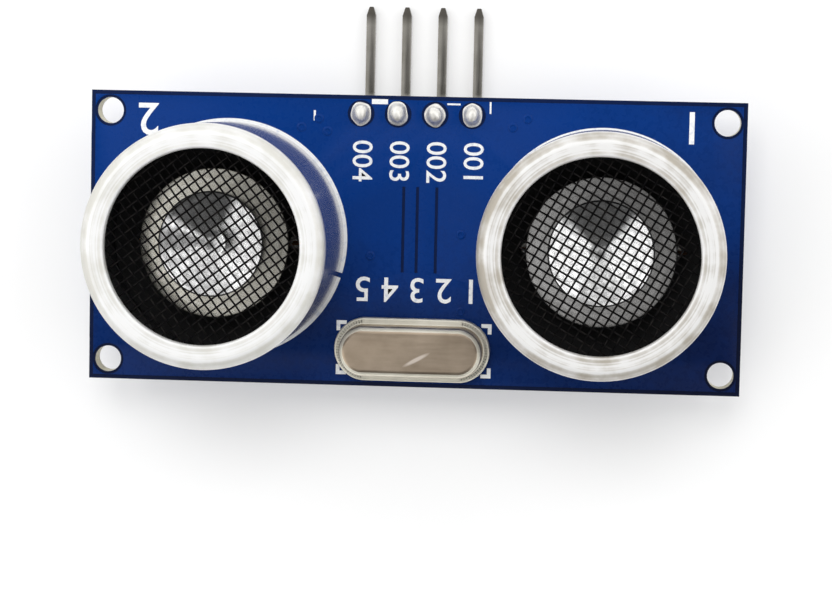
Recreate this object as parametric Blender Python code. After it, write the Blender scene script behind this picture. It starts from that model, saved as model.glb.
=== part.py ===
"""Ultrasonic distance sensor: a circuit board with two open 40 kHz transducers.

The module lies on its back: the transducers face +Z, the header pins lead away along +Y.
Every piece is modelled from the centre of the board's front face, and one empty lifts the
module until its header pins lie on z = 0 with the origin under the middle of its outline.
Sizes are in metres.
"""

import math

import bmesh
import bpy
from mathutils import Matrix, Vector

# Clearance between pieces that seat on, or pass through, each other
FIT_GAP = 0.00005
MERGE_DISTANCE = 0.0000001
SHARP_ANGLE = math.radians(35.0)

# Circuit board
BOARD_LENGTH = 0.045
BOARD_WIDTH = 0.020
BOARD_THICKNESS = 0.0016
SCREW_HOLE_RADIUS = 0.0009
SCREW_INSET_X = 0.001335
SCREW_INSET_Y = 0.00139
SCREW_LAND_RADIUS = 0.0020
SCREW_LAND_DEPTH = 0.00005

# Transducer can
TRANSDUCER_SPACING = 0.02568
CAN_RADIUS = 0.008
CAN_HEIGHT = 0.012
CAN_WALL = 0.0005
CAN_LIP = 0.0006
CAN_EDGE_RADIUS = 0.0008
CAN_MOUTH_RADIUS = 0.00637
CAN_MOUTH_CHAMFER = 0.00015
CAN_STEPS = 48

# Wire screen behind the lip
SCREEN_THICKNESS = 0.0003
SCREEN_PITCH = 0.0009
SCREEN_WIRE = 0.0003
SCREEN_TURNS = {"left": math.radians(36.0), "right": math.radians(60.0)}

# Transducer inside, from the board upwards
BASE_THICKNESS = 0.0024
PEDESTAL_RADIUS = 0.0040
PEDESTAL_WIDTH = 0.0011
PEDESTAL_HEIGHT = 0.0026
SUPPORT_RING_THICKNESS = 0.0005
CERAMIC_RADIUS = 0.0044
CERAMIC_THICKNESS = 0.0004
DIAPHRAGM_RADIUS = 0.0050
DIAPHRAGM_THICKNESS = 0.0003
CONE_RADIUS = 0.0035
CONE_FOOT_RADIUS = 0.0006
CONE_HEIGHT = 0.0015
CONE_WALL = 0.0002
INNER_STEPS = 32

# Transducer terminals and the fine wires on them
TERMINAL_SPACING = 0.010
TERMINAL_RADIUS = 0.0005
TERMINAL_RISE = 0.0010
TERMINAL_TAIL = 0.0018
TERMINAL_CHAMFER = 0.00015
TERMINAL_SOLDER_RADIUS = 0.00115
TERMINAL_SOLDER_HEIGHT = 0.0012
SOLDER_NECK_SHARE = 0.25
SOLDER_WAIST_SHARE = 0.5
SOLDER_WAIST_HEIGHT_SHARE = 0.33
WIRE_RADIUS = 0.0001
WIRE_BOW = 0.0007
WIRE_POINTS = 7
ROUND_PIN_STEPS = 16

# Header
PIN_COUNT = 4
PIN_PITCH = 0.00254
PIN_SIDE = 0.00064
PIN_INSET = 0.00125
PIN_FRONT_TAIL = 0.0007
PIN_DROP = 0.00056
PIN_BEND_RADIUS = 0.0015
PIN_REACH = 0.00625
PIN_TIP_TAPER = 0.0006
PIN_TIP_SHARE = 0.45
PIN_BEND_STEPS = 6
BLOCK_DEPTH = 0.0025
BLOCK_HEIGHT = 0.00254
BLOCK_CHAMFER = 0.0005
PIN_SOLDER_RADIUS = 0.0008
PIN_SOLDER_CROWN = 0.00035
PIN_SOLDER_STEPS = 5

# Crystal
CRYSTAL_X = 0.00005
CRYSTAL_INSET = 0.00263
CRYSTAL_FLANGE_LENGTH = 0.0107
CRYSTAL_FLANGE_WIDTH = 0.00434
CRYSTAL_FLANGE_THICKNESS = 0.00035
CRYSTAL_LENGTH = 0.0097
CRYSTAL_WIDTH = 0.00345
CRYSTAL_HEIGHT = 0.0028
CRYSTAL_WALL = 0.0003
CRYSTAL_EDGE_RADIUS = 0.0005
CRYSTAL_BASE_THICKNESS = 0.0004
CRYSTAL_LEAD_SPACING = 0.00488
CRYSTAL_LEAD_RADIUS = 0.000215
CRYSTAL_LEAD_RISE = 0.0007
CRYSTAL_LEAD_TAIL = 0.0012
CRYSTAL_SOLDER_RADIUS = 0.0007
CRYSTAL_SOLDER_HEIGHT = 0.0008
BLANK_LENGTH = 0.0074
BLANK_WIDTH = 0.0018
BLANK_THICKNESS = 0.00015

# Flat gull-wing packages on the back
CHIP_WIDTH = 0.0039
CHIP_HEIGHT = 0.00145
CHIP_STANDOFF = 0.0001
CHIP_DRAFT = 0.00012
CHIP_SPAN = 0.0060
CHIP_LEAD_PITCH = 0.00127
CHIP_LEAD_WIDTH = 0.00042
CHIP_LEAD_THICKNESS = 0.0002
CHIP_FOOT = 0.0006
CHIP_END_MARGIN = 0.00052
CONTROLLER_Y = 0.0010
DRIVER_LEADS = 16
AMPLIFIER_LEADS = 14
CONTROLLER_LEADS = 14

# Small transistor on the back
TRANSISTOR_LENGTH = 0.0029
TRANSISTOR_WIDTH = 0.0013
TRANSISTOR_HEIGHT = 0.0010
TRANSISTOR_SPAN = 0.0024
TRANSISTOR_LEAD_PITCH = 0.00095
TRANSISTOR_FOOT = 0.0004

# Chip resistors and capacitors on the back
CHIP_PART_LENGTH = 0.0016
CHIP_PART_WIDTH = 0.0008
RESISTOR_HEIGHT = 0.00045
CAPACITOR_HEIGHT = 0.0008
END_CAP_LENGTH = 0.0003
END_CAP_PROUD = 0.00002
ROW_SPACING = 0.0030
ROW_CLEARANCE = 0.0012
SIDE_ROW_Y = 0.0050

# Places that follow from the sizes
BACK_Z = -BOARD_THICKNESS
SCREW_X = BOARD_LENGTH / 2 - SCREW_INSET_X
SCREW_Y = BOARD_WIDTH / 2 - SCREW_INSET_Y
HEADER_Y = BOARD_WIDTH / 2 - PIN_INSET
CRYSTAL_Y = -BOARD_WIDTH / 2 + CRYSTAL_INSET
CAN_INNER_RADIUS = CAN_RADIUS - CAN_WALL
PIN_DEPTH = BOARD_THICKNESS + BLOCK_HEIGHT + PIN_DROP + PIN_BEND_RADIUS
PIN_HOLE_RADIUS = PIN_SIDE * math.sqrt(0.5) + FIT_GAP
BASE_TOP = FIT_GAP + BASE_THICKNESS
PEDESTAL_TOP = BASE_TOP + PEDESTAL_HEIGHT
SUPPORT_RING_TOP = PEDESTAL_TOP + FIT_GAP + SUPPORT_RING_THICKNESS
CERAMIC_TOP = SUPPORT_RING_TOP + FIT_GAP + CERAMIC_THICKNESS
DIAPHRAGM_TOP = CERAMIC_TOP + FIT_GAP + DIAPHRAGM_THICKNESS
SCREEN_TOP = CAN_HEIGHT - CAN_LIP - FIT_GAP
SIDES = {"left": -1, "right": 1}


def clear_scene():
    """Remove every object of the open file."""
    for item in list(bpy.data.objects):
        bpy.data.objects.remove(item, do_unlink=True)


def finish_material(name, colour, roughness, metallic=0.0):
    """Return a Principled material."""
    material = bpy.data.materials.new(name)
    material.use_nodes = True
    shader = material.node_tree.nodes["Principled BSDF"]
    shader.inputs["Base Color"].default_value = (*colour, 1.0)
    shader.inputs["Roughness"].default_value = roughness
    shader.inputs["Metallic"].default_value = metallic
    material.diffuse_color = (*colour, 1.0)
    return material


def piece(name, body, material, location=(0.0, 0.0, 0.0), turn=(0.0, 0.0, 0.0)):
    """Turn a bmesh body into a named object carried by the module's empty."""
    bmesh.ops.recalc_face_normals(body, faces=body.faces)
    mesh = bpy.data.meshes.new(name)
    body.to_mesh(mesh)
    body.free()
    mesh.shade_smooth()
    mesh.set_sharp_from_angle(angle=SHARP_ANGLE)
    mesh.materials.append(material)
    item = bpy.data.objects.new(name, mesh)
    item.location = location
    item.rotation_euler = turn
    item.parent = bpy.data.objects["module"]
    bpy.context.collection.objects.link(item)
    return item


def combine(item, tool, operation):
    """Cut a tool out of a piece, or fuse it on. The tool itself is only a guide."""
    tool.hide_render = True
    tool.display_type = "WIRE"
    modifier = item.modifiers.new(operation.lower(), "BOOLEAN")
    modifier.operation = operation
    modifier.object = tool


def arc(centre, radius, start, end, steps):
    """Return points on an arc, as (across, up), from one angle to another in degrees."""
    points = []
    for step in range(steps + 1):
        angle = math.radians(start + (end - start) * step / steps)
        points.append((centre[0] + radius * math.cos(angle), centre[1] + radius * math.sin(angle)))
    return points


def turned(profile, steps):
    """Return a body turned round Z from (radius, height) points; one on the axis stays open there."""
    body = bmesh.new()
    verts = [body.verts.new((radius, 0.0, height)) for radius, height in profile]
    pairs = list(zip(verts, verts[1:]))
    if profile[0][0] > 0.0:
        pairs.append((verts[-1], verts[0]))
    edges = [body.edges.new(pair) for pair in pairs]
    bmesh.ops.spin(body, geom=verts + edges, cent=(0, 0, 0), axis=(0, 0, 1),
                   angle=math.tau, steps=steps, use_merge=True)
    bmesh.ops.remove_doubles(body, verts=body.verts, dist=MERGE_DISTANCE)
    return body


def lofted(rings):
    """Return a body through closed rings of equal length, capped at its first and last ring."""
    body = bmesh.new()
    loops = [[body.verts.new(point) for point in ring] for ring in rings]
    count = len(loops[0])
    for lower, upper in zip(loops, loops[1:]):
        for index in range(count):
            after = (index + 1) % count
            body.faces.new((lower[index], lower[after], upper[after], upper[index]))
    body.faces.new(loops[0])
    body.faces.new(loops[-1])
    return body


def extruded(outline, height):
    """Return a flat outline of (x, y) points raised by a height."""
    return lofted([[(x, y, 0.0) for x, y in outline], [(x, y, height) for x, y in outline]])


def rectangle(length, width, height=0.0):
    """Return the corners of a level rectangle round the Z axis."""
    return [(sx * length / 2, sy * width / 2, height) for sx, sy in ((1, 1), (-1, 1), (-1, -1), (1, -1))]


def stadium(length, width, height, steps=10):
    """Return a level outline with straight sides and half-round ends."""
    reach = (length - width) / 2
    points = arc((reach, 0.0), width / 2, -90, 90, steps) + arc((-reach, 0.0), width / 2, 90, 270, steps)
    return [(x, y, height) for x, y in points]


def repeated(body, places):
    """Copy a body to several places and drop the original."""
    original = body.verts[:] + body.edges[:] + body.faces[:]
    for place in places:
        copy = bmesh.ops.duplicate(body, geom=original)["geom"]
        verts = [part for part in copy if isinstance(part, bmesh.types.BMVert)]
        bmesh.ops.translate(body, verts=verts, vec=place)
    first = [part for part in original if isinstance(part, bmesh.types.BMVert)]
    bmesh.ops.delete(body, geom=first, context="VERTS")
    return body


def rod(radius, bottom, top, steps):
    """Return a plain round rod on the Z axis."""
    return turned([(0.0, top), (radius, top), (radius, bottom), (0.0, bottom)], steps)


def pin_places():
    """Return the header pins' x places, from left to right."""
    first = -PIN_PITCH * (PIN_COUNT - 1) / 2
    return [first + PIN_PITCH * index for index in range(PIN_COUNT)]


def terminal_places():
    """Return the places of all four transducer terminals."""
    places = []
    for side in SIDES.values():
        for end in (-1, 1):
            places.append(side * TRANSDUCER_SPACING / 2 + end * TERMINAL_SPACING / 2)
    return places


def crystal_lead_places():
    """Return the x places of the crystal's two leads."""
    return [CRYSTAL_X - CRYSTAL_LEAD_SPACING / 2, CRYSTAL_X + CRYSTAL_LEAD_SPACING / 2]


def make_board(material):
    """Board blank with its screw holes, their copper-free lands and the holes for every lead."""
    over = BOARD_THICKNESS
    blank = extruded([point[:2] for point in rectangle(BOARD_LENGTH, BOARD_WIDTH)], BOARD_THICKNESS)
    board = piece("circuit_board", blank, material, location=(0.0, 0.0, BACK_Z))
    screw_profile = [
        (0.0, over),
        (SCREW_LAND_RADIUS, over),
        (SCREW_LAND_RADIUS, -SCREW_LAND_DEPTH),
        (SCREW_HOLE_RADIUS, -SCREW_LAND_DEPTH),
        (SCREW_HOLE_RADIUS, BACK_Z + SCREW_LAND_DEPTH),
        (SCREW_LAND_RADIUS, BACK_Z + SCREW_LAND_DEPTH),
        (SCREW_LAND_RADIUS, BACK_Z - over),
        (0.0, BACK_Z - over),
    ]
    corners = [(sx * SCREW_X, sy * SCREW_Y, 0.0) for sx in (-1, 1) for sy in (-1, 1)]
    screws = repeated(turned(screw_profile, INNER_STEPS), corners)
    combine(board, piece("screw_hole_tool", screws, material), "DIFFERENCE")
    drills = [
        ("pin_hole_tool", PIN_HOLE_RADIUS, [(x, HEADER_Y, 0.0) for x in pin_places()]),
        ("terminal_hole_tool", TERMINAL_RADIUS + 2 * FIT_GAP, [(x, 0.0, 0.0) for x in terminal_places()]),
        ("lead_hole_tool", CRYSTAL_LEAD_RADIUS + FIT_GAP,
         [(x, CRYSTAL_Y, 0.0) for x in crystal_lead_places()]),
    ]
    for name, radius, places in drills:
        outer = radius / math.cos(math.pi / ROUND_PIN_STEPS)
        holes = repeated(rod(outer, BACK_Z - over, over, ROUND_PIN_STEPS), places)
        combine(board, piece(name, holes, material), "DIFFERENCE")


def make_can(name, material, location):
    """Drawn aluminium can: a tube with a flat lip rolled in over the screen."""
    lip_under = CAN_HEIGHT - CAN_LIP
    shoulder = (CAN_RADIUS - CAN_EDGE_RADIUS, CAN_HEIGHT - CAN_EDGE_RADIUS)
    profile = [
        (CAN_MOUTH_RADIUS, lip_under),
        (CAN_MOUTH_RADIUS, CAN_HEIGHT - CAN_MOUTH_CHAMFER),
        (CAN_MOUTH_RADIUS + CAN_MOUTH_CHAMFER, CAN_HEIGHT),
        *arc(shoulder, CAN_EDGE_RADIUS, 90, 0, 4),
        (CAN_RADIUS, FIT_GAP),
        (CAN_INNER_RADIUS, FIT_GAP),
        (CAN_INNER_RADIUS, lip_under),
    ]
    piece(name, turned(profile, CAN_STEPS), material, location)


def screen_gaps():
    """Return the centres of the net's square gaps that lie wholly in the field of the screen."""
    gap = SCREEN_PITCH - SCREEN_WIRE
    field = CAN_MOUTH_RADIUS + SCREEN_WIRE
    reach = math.ceil(field / SCREEN_PITCH)
    centres = []
    for column in range(-reach, reach + 1):
        for row in range(-reach, reach + 1):
            x = column * SCREEN_PITCH
            y = row * SCREEN_PITCH
            if math.hypot(abs(x) + gap / 2, abs(y) + gap / 2) < field:
                centres.append((x, y, 0.0))
    return centres


def make_screen(name, material, location, turn):
    """Net screen: a thin disc with a lattice of square gaps."""
    disc = rod(CAN_INNER_RADIUS - FIT_GAP, SCREEN_TOP - SCREEN_THICKNESS, SCREEN_TOP, INNER_STEPS)
    screen = piece(name, disc, material, location, (0.0, 0.0, turn))
    gap = SCREEN_PITCH - SCREEN_WIRE
    low = SCREEN_TOP - 2 * SCREEN_THICKNESS
    high = SCREEN_TOP + SCREEN_THICKNESS
    punch = lofted([rectangle(gap, gap, low), rectangle(gap, gap, high)])
    centres = screen_gaps()
    print(name, "has", len(centres), "gaps")
    tool = piece(name + "_tool", repeated(punch, centres), material, location, (0.0, 0.0, turn))
    combine(screen, tool, "DIFFERENCE")


def make_base(name, material, location):
    """Moulded base that closes the can, with the ring pedestal that carries the disc pair."""
    inner = PEDESTAL_RADIUS - PEDESTAL_WIDTH
    profile = [
        (0.0, BASE_TOP),
        (inner, BASE_TOP),
        (inner, PEDESTAL_TOP),
        (PEDESTAL_RADIUS, PEDESTAL_TOP),
        (PEDESTAL_RADIUS, BASE_TOP),
        (CAN_INNER_RADIUS - FIT_GAP, BASE_TOP),
        (CAN_INNER_RADIUS - FIT_GAP, FIT_GAP),
        (0.0, FIT_GAP),
    ]
    base = piece(name, turned(profile, INNER_STEPS), material, location)
    outer = (TERMINAL_RADIUS + FIT_GAP) / math.cos(math.pi / ROUND_PIN_STEPS)
    drill = rod(outer, -BASE_THICKNESS, 2 * BASE_THICKNESS, ROUND_PIN_STEPS)
    holes = repeated(drill, [(end * TERMINAL_SPACING / 2, 0.0, 0.0) for end in (-1, 1)])
    combine(base, piece(name + "_tool", holes, material, location), "DIFFERENCE")


def make_disc_pair(side, finishes, location):
    """Silicone ring, piezo ceramic, metal diaphragm and the cone glued on it."""
    inner = PEDESTAL_RADIUS - PEDESTAL_WIDTH
    ring_bottom = PEDESTAL_TOP + FIT_GAP
    ring_profile = [
        (inner, SUPPORT_RING_TOP),
        (PEDESTAL_RADIUS, SUPPORT_RING_TOP),
        (PEDESTAL_RADIUS, ring_bottom),
        (inner, ring_bottom),
    ]
    piece(side + "_support_ring", turned(ring_profile, INNER_STEPS), finishes["silicone"], location)
    ceramic = rod(CERAMIC_RADIUS, CERAMIC_TOP - CERAMIC_THICKNESS, CERAMIC_TOP, INNER_STEPS)
    piece(side + "_ceramic_disc", ceramic, finishes["ceramic"], location)
    diaphragm = rod(DIAPHRAGM_RADIUS, DIAPHRAGM_TOP - DIAPHRAGM_THICKNESS, DIAPHRAGM_TOP, INNER_STEPS)
    piece(side + "_diaphragm", diaphragm, finishes["diaphragm"], location)
    foot = DIAPHRAGM_TOP + FIT_GAP
    rim = foot + CONE_HEIGHT
    cone_profile = [
        (0.0, foot + CONE_WALL),
        (CONE_FOOT_RADIUS - CONE_WALL / 2, foot + CONE_WALL),
        (CONE_RADIUS - CONE_WALL / 2, rim),
        (CONE_RADIUS, rim),
        (CONE_RADIUS, rim - CONE_WALL),
        (CONE_FOOT_RADIUS, foot),
        (0.0, foot),
    ]
    piece(side + "_cone", turned(cone_profile, INNER_STEPS), finishes["cone"], location)


def make_terminal(name, material, location):
    """Round terminal, from inside the can through the base and the board."""
    top = BASE_TOP + TERMINAL_RISE
    bottom = BACK_Z - TERMINAL_TAIL
    profile = [
        (0.0, top),
        (TERMINAL_RADIUS - TERMINAL_CHAMFER, top),
        (TERMINAL_RADIUS, top - TERMINAL_CHAMFER),
        (TERMINAL_RADIUS, bottom + TERMINAL_CHAMFER),
        (TERMINAL_RADIUS - TERMINAL_CHAMFER, bottom),
        (0.0, bottom),
    ]
    piece(name, turned(profile, ROUND_PIN_STEPS), material, location)


def make_back_solder(name, material, location, bore, radius, height):
    """Solder fillet on the back: a hollow-sided cone round a lead."""
    top = BACK_Z - FIT_GAP
    inner = bore + FIT_GAP
    spread = radius - inner
    profile = [
        (inner, top),
        (inner, top - height),
        (inner + spread * SOLDER_NECK_SHARE, top - height),
        (inner + spread * SOLDER_WAIST_SHARE, top - height * SOLDER_WAIST_HEIGHT_SHARE),
        (radius, top),
    ]
    piece(name, turned(profile, ROUND_PIN_STEPS), material, location)


def make_wire(name, material, location, end, reach, top):
    """Fine wire from a terminal's end, bowed outwards, to the underside of the disc pair."""
    start = Vector((end * TERMINAL_SPACING / 2, 0.0, BASE_TOP + TERMINAL_RISE + FIT_GAP))
    finish = Vector((end * reach, 0.0, top - FIT_GAP))
    curve = bpy.data.curves.new(name, "CURVE")
    curve.dimensions = "3D"
    curve.bevel_depth = WIRE_RADIUS
    curve.bevel_resolution = 1
    curve.use_fill_caps = True
    spline = curve.splines.new("POLY")
    spline.points.add(WIRE_POINTS - 1)
    for index, point in enumerate(spline.points):
        share = index / (WIRE_POINTS - 1)
        bow = Vector((end * WIRE_BOW * math.sin(math.pi * share), 0.0, 0.0))
        point.co = (*(start.lerp(finish, share) + bow), 1.0)
    curve.materials.append(material)
    wire = bpy.data.objects.new(name, curve)
    wire.location = location
    wire.parent = bpy.data.objects["module"]
    bpy.context.collection.objects.link(wire)


def make_transducer(side, sign, finishes):
    """One open transducer with everything in its can and its joints on the back."""
    centre = (sign * TRANSDUCER_SPACING / 2, 0.0, 0.0)
    make_can(side + "_can", finishes["can"], centre)
    make_screen(side + "_screen", finishes["screen"], centre, SCREEN_TURNS[side])
    make_base(side + "_base", finishes["base"], centre)
    make_disc_pair(side, finishes, centre)
    reaches = (CERAMIC_RADIUS - 2 * WIRE_RADIUS, DIAPHRAGM_RADIUS - 2 * WIRE_RADIUS)
    undersides = (CERAMIC_TOP - CERAMIC_THICKNESS, DIAPHRAGM_TOP - DIAPHRAGM_THICKNESS)
    for index, end in enumerate((-1, 1)):
        place = (centre[0] + end * TERMINAL_SPACING / 2, 0.0, 0.0)
        number = str(index + 1)
        make_terminal(side + "_terminal_" + number, finishes["terminal"], place)
        make_back_solder(side + "_terminal_solder_" + number, finishes["solder"], place,
                         TERMINAL_RADIUS, TERMINAL_SOLDER_RADIUS, TERMINAL_SOLDER_HEIGHT)
        make_wire(side + "_wire_" + number, finishes["wire"], centre, end, reaches[index],
                  undersides[index])


def make_header_block(material):
    """Black strip on the back that holds the pins, notched between them."""
    half = BLOCK_DEPTH / 2
    notch = BLOCK_CHAMFER
    edge = []
    for x in pin_places():
        left = x - PIN_PITCH / 2
        right = x + PIN_PITCH / 2
        edge += [(left, half - notch), (left + notch, half), (right - notch, half)]
    edge.append((right, half - notch))
    outline = edge + [(-x, -y) for x, y in edge]
    height = BLOCK_HEIGHT - FIT_GAP
    place = (0.0, HEADER_Y, BACK_Z - BLOCK_HEIGHT)
    block = piece("header_block", extruded(outline, height), material, place)
    side = PIN_SIDE + 2 * FIT_GAP
    punch = lofted([rectangle(side, side, -BLOCK_HEIGHT), rectangle(side, side, 2 * BLOCK_HEIGHT)])
    holes = repeated(punch, [(x, 0.0, 0.0) for x in pin_places()])
    combine(block, piece("header_block_tool", holes, material, place), "DIFFERENCE")


def make_pin(name, material, x):
    """Square pin: straight through board and block, bent once, then out past the board's edge."""
    bend_start = PIN_BEND_RADIUS - PIN_DEPTH
    hub = Vector((0.0, PIN_BEND_RADIUS, bend_start))
    section = [Vector(corner) for corner in rectangle(PIN_SIDE, PIN_SIDE, bend_start)]
    rings = [[Vector((corner.x, corner.y, PIN_FRONT_TAIL)) for corner in section]]
    for step in range(PIN_BEND_STEPS + 1):
        turn = Matrix.Rotation(math.pi / 2 * step / PIN_BEND_STEPS, 3, "X")
        rings.append([hub + turn @ (corner - hub) for corner in section])
    run = PIN_INSET + PIN_REACH - PIN_BEND_RADIUS - PIN_TIP_TAPER
    rings.append([corner + Vector((0.0, run, 0.0)) for corner in rings[-1]])
    middle = sum(rings[-1], Vector()) / len(section)
    tip = middle + Vector((0.0, PIN_TIP_TAPER, 0.0))
    rings.append([tip + PIN_TIP_SHARE * (corner - middle) for corner in rings[-1]])
    piece(name, lofted(rings), material, (x, HEADER_Y, 0.0))


def make_pin_solder(name, material, x):
    """Solder joint on the front: a dome over the end of a pin."""
    bore = PIN_HOLE_RADIUS / math.cos(math.pi / ROUND_PIN_STEPS)
    inside = PIN_FRONT_TAIL + FIT_GAP
    rise = PIN_FRONT_TAIL + PIN_SOLDER_CROWN
    dome = [(PIN_SOLDER_RADIUS * across, FIT_GAP + rise * up)
            for across, up in arc((0.0, 0.0), 1.0, 90, 0, PIN_SOLDER_STEPS)]
    dome[0] = (0.0, FIT_GAP + rise)
    profile = dome + [(bore, FIT_GAP), (bore, inside), (0.0, inside)]
    piece(name, turned(profile, ROUND_PIN_STEPS), material, (x, HEADER_Y, 0.0))


def make_header(finishes):
    """Pins, block and the joints on the front."""
    make_header_block(finishes["block"])
    for index, x in enumerate(pin_places()):
        make_pin(f"header_pin_{index + 1}", finishes["pin"], x)
        make_pin_solder(f"header_solder_{index + 1}", finishes["solder"], x)


def make_crystal(finishes):
    """Quartz crystal: pressed can on its base, two leads, and the blank between them."""
    place = (CRYSTAL_X, CRYSTAL_Y, 0.0)
    seam = FIT_GAP + CRYSTAL_BASE_THICKNESS + FIT_GAP
    flange_top = seam + CRYSTAL_FLANGE_THICKNESS
    edge = CRYSTAL_EDGE_RADIUS
    bore_length = CRYSTAL_LENGTH - 2 * CRYSTAL_WALL
    bore_width = CRYSTAL_WIDTH - 2 * CRYSTAL_WALL
    rings = [
        stadium(bore_length, bore_width, CRYSTAL_HEIGHT - CRYSTAL_WALL),
        stadium(bore_length, bore_width, seam),
        stadium(CRYSTAL_FLANGE_LENGTH, CRYSTAL_FLANGE_WIDTH, seam),
        stadium(CRYSTAL_FLANGE_LENGTH, CRYSTAL_FLANGE_WIDTH, flange_top),
        stadium(CRYSTAL_LENGTH, CRYSTAL_WIDTH, flange_top),
    ]
    for inset, height in arc((edge, CRYSTAL_HEIGHT - edge), edge, 180, 90, 3):
        rings.append(stadium(CRYSTAL_LENGTH - 2 * inset, CRYSTAL_WIDTH - 2 * inset, height))
    piece("crystal_can", lofted(rings), finishes["crystal"], place)

    base_rings = [
        stadium(CRYSTAL_FLANGE_LENGTH, CRYSTAL_FLANGE_WIDTH, FIT_GAP),
        stadium(CRYSTAL_FLANGE_LENGTH, CRYSTAL_FLANGE_WIDTH, FIT_GAP + CRYSTAL_BASE_THICKNESS),
    ]
    base = piece("crystal_base", lofted(base_rings), finishes["crystal_base"], place)
    bore = (CRYSTAL_LEAD_RADIUS + FIT_GAP) / math.cos(math.pi / ROUND_PIN_STEPS)
    drill = rod(bore, -CRYSTAL_BASE_THICKNESS, 3 * CRYSTAL_BASE_THICKNESS, ROUND_PIN_STEPS)
    ends = (-CRYSTAL_LEAD_SPACING / 2, CRYSTAL_LEAD_SPACING / 2)
    holes = repeated(drill, [(x, 0.0, 0.0) for x in ends])
    combine(base, piece("crystal_base_tool", holes, finishes["crystal_base"], place), "DIFFERENCE")

    lead_top = seam + CRYSTAL_LEAD_RISE
    for index, x in enumerate(crystal_lead_places()):
        lead = rod(CRYSTAL_LEAD_RADIUS, BACK_Z - CRYSTAL_LEAD_TAIL, lead_top, ROUND_PIN_STEPS)
        spot = (x, CRYSTAL_Y, 0.0)
        piece(f"crystal_lead_{index + 1}", lead, finishes["terminal"], spot)
        make_back_solder(f"crystal_solder_{index + 1}", finishes["solder"], spot,
                         CRYSTAL_LEAD_RADIUS, CRYSTAL_SOLDER_RADIUS, CRYSTAL_SOLDER_HEIGHT)
    blank_bottom = lead_top + FIT_GAP
    blank = lofted([rectangle(BLANK_LENGTH, BLANK_WIDTH, blank_bottom),
                    rectangle(BLANK_LENGTH, BLANK_WIDTH, blank_bottom + BLANK_THICKNESS)])
    piece("crystal_blank", blank, finishes["quartz"], place)


def package_body(length, width, height):
    """Moulded package body, drafted away from its parting line at mid height."""
    middle = CHIP_STANDOFF + height / 2
    return lofted([
        rectangle(length - 2 * CHIP_DRAFT, width - 2 * CHIP_DRAFT, CHIP_STANDOFF),
        rectangle(length, width, middle),
        rectangle(length - 2 * CHIP_DRAFT, width - 2 * CHIP_DRAFT, CHIP_STANDOFF + height),
    ])


def gull_wing(width, height, span, foot):
    """One bent lead that leaves the package side at mid height and stands on the board."""
    middle = CHIP_STANDOFF + height / 2
    thick = CHIP_LEAD_THICKNESS
    root = width / 2 - 2 * CHIP_DRAFT
    toe = span / 2
    heel = toe - foot
    knee = (width / 2 + heel) / 2
    outline = [
        (root, middle + thick / 2),
        (knee, middle + thick / 2),
        (heel, thick),
        (toe, thick),
        (toe, 0.0),
        (heel - thick / 2, 0.0),
        (knee - thick / 2, middle - thick / 2),
        (root, middle - thick / 2),
    ]
    half = CHIP_LEAD_WIDTH / 2
    return lofted([[(-half, y, z) for y, z in outline], [(half, y, z) for y, z in outline]])


def lead_rows(width, height, span, foot, places):
    """Copy a lead to (x, side) places along the package."""
    leads = bmesh.new()
    for x, side in places:
        lead = gull_wing(width, height, span, foot)
        if side < 0:
            bmesh.ops.rotate(lead, verts=lead.verts, matrix=Matrix.Rotation(math.pi, 3, "Z"))
        bmesh.ops.translate(lead, verts=lead.verts, vec=(x, 0.0, 0.0))
        mesh = bpy.data.meshes.new("lead")
        lead.to_mesh(mesh)
        lead.free()
        leads.from_mesh(mesh)
        bpy.data.meshes.remove(mesh)
    return leads


def make_package(name, finishes, count, x, y, turn):
    """Flat package on the back of the board, with leads along both long sides."""
    per_side = count // 2
    length = CHIP_LEAD_PITCH * (per_side - 1) + 2 * CHIP_END_MARGIN
    first = -CHIP_LEAD_PITCH * (per_side - 1) / 2
    places = [(first + CHIP_LEAD_PITCH * index, side) for side in (-1, 1) for index in range(per_side)]
    spot = (x, y, BACK_Z - FIT_GAP)
    facing = (math.pi, 0.0, turn)
    package = piece(name, package_body(length, CHIP_WIDTH, CHIP_HEIGHT), finishes["package"], spot, facing)
    leads = lead_rows(CHIP_WIDTH, CHIP_HEIGHT, CHIP_SPAN, CHIP_FOOT, places)
    combine(package, piece(name + "_tool", leads, finishes["pin"], spot, facing), "UNION")


def make_transistor(finishes, x, y, turn):
    """Three-legged transistor on the back."""
    body = package_body(TRANSISTOR_LENGTH, TRANSISTOR_WIDTH, TRANSISTOR_HEIGHT)
    spot = (x, y, BACK_Z - FIT_GAP)
    facing = (math.pi, 0.0, turn)
    package = piece("transistor", body, finishes["package"], spot, facing)
    places = [(-TRANSISTOR_LEAD_PITCH, 1), (TRANSISTOR_LEAD_PITCH, 1), (0.0, -1)]
    leads = lead_rows(TRANSISTOR_WIDTH, TRANSISTOR_HEIGHT, TRANSISTOR_SPAN, TRANSISTOR_FOOT, places)
    combine(package, piece("transistor_tool", leads, finishes["pin"], spot, facing), "UNION")


def make_chip_part(name, material, height, x, y, turn):
    """Chip resistor or capacitor: a small block between two metal end caps."""
    length = CHIP_PART_LENGTH / 2
    inner = length - END_CAP_LENGTH
    proud = END_CAP_PROUD
    stations = [(-length, 0), (-inner, 0), (-inner, proud), (inner, proud), (inner, 0), (length, 0)]
    rings = []
    for along, drawn_in in stations:
        half = CHIP_PART_WIDTH / 2 - drawn_in
        rings.append([(along, -half, drawn_in), (along, half, drawn_in),
                      (along, half, height - drawn_in), (along, -half, height - drawn_in)])
    piece(name, lofted(rings), material, (x, y, BACK_Z - FIT_GAP), (math.pi, 0.0, turn))


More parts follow.
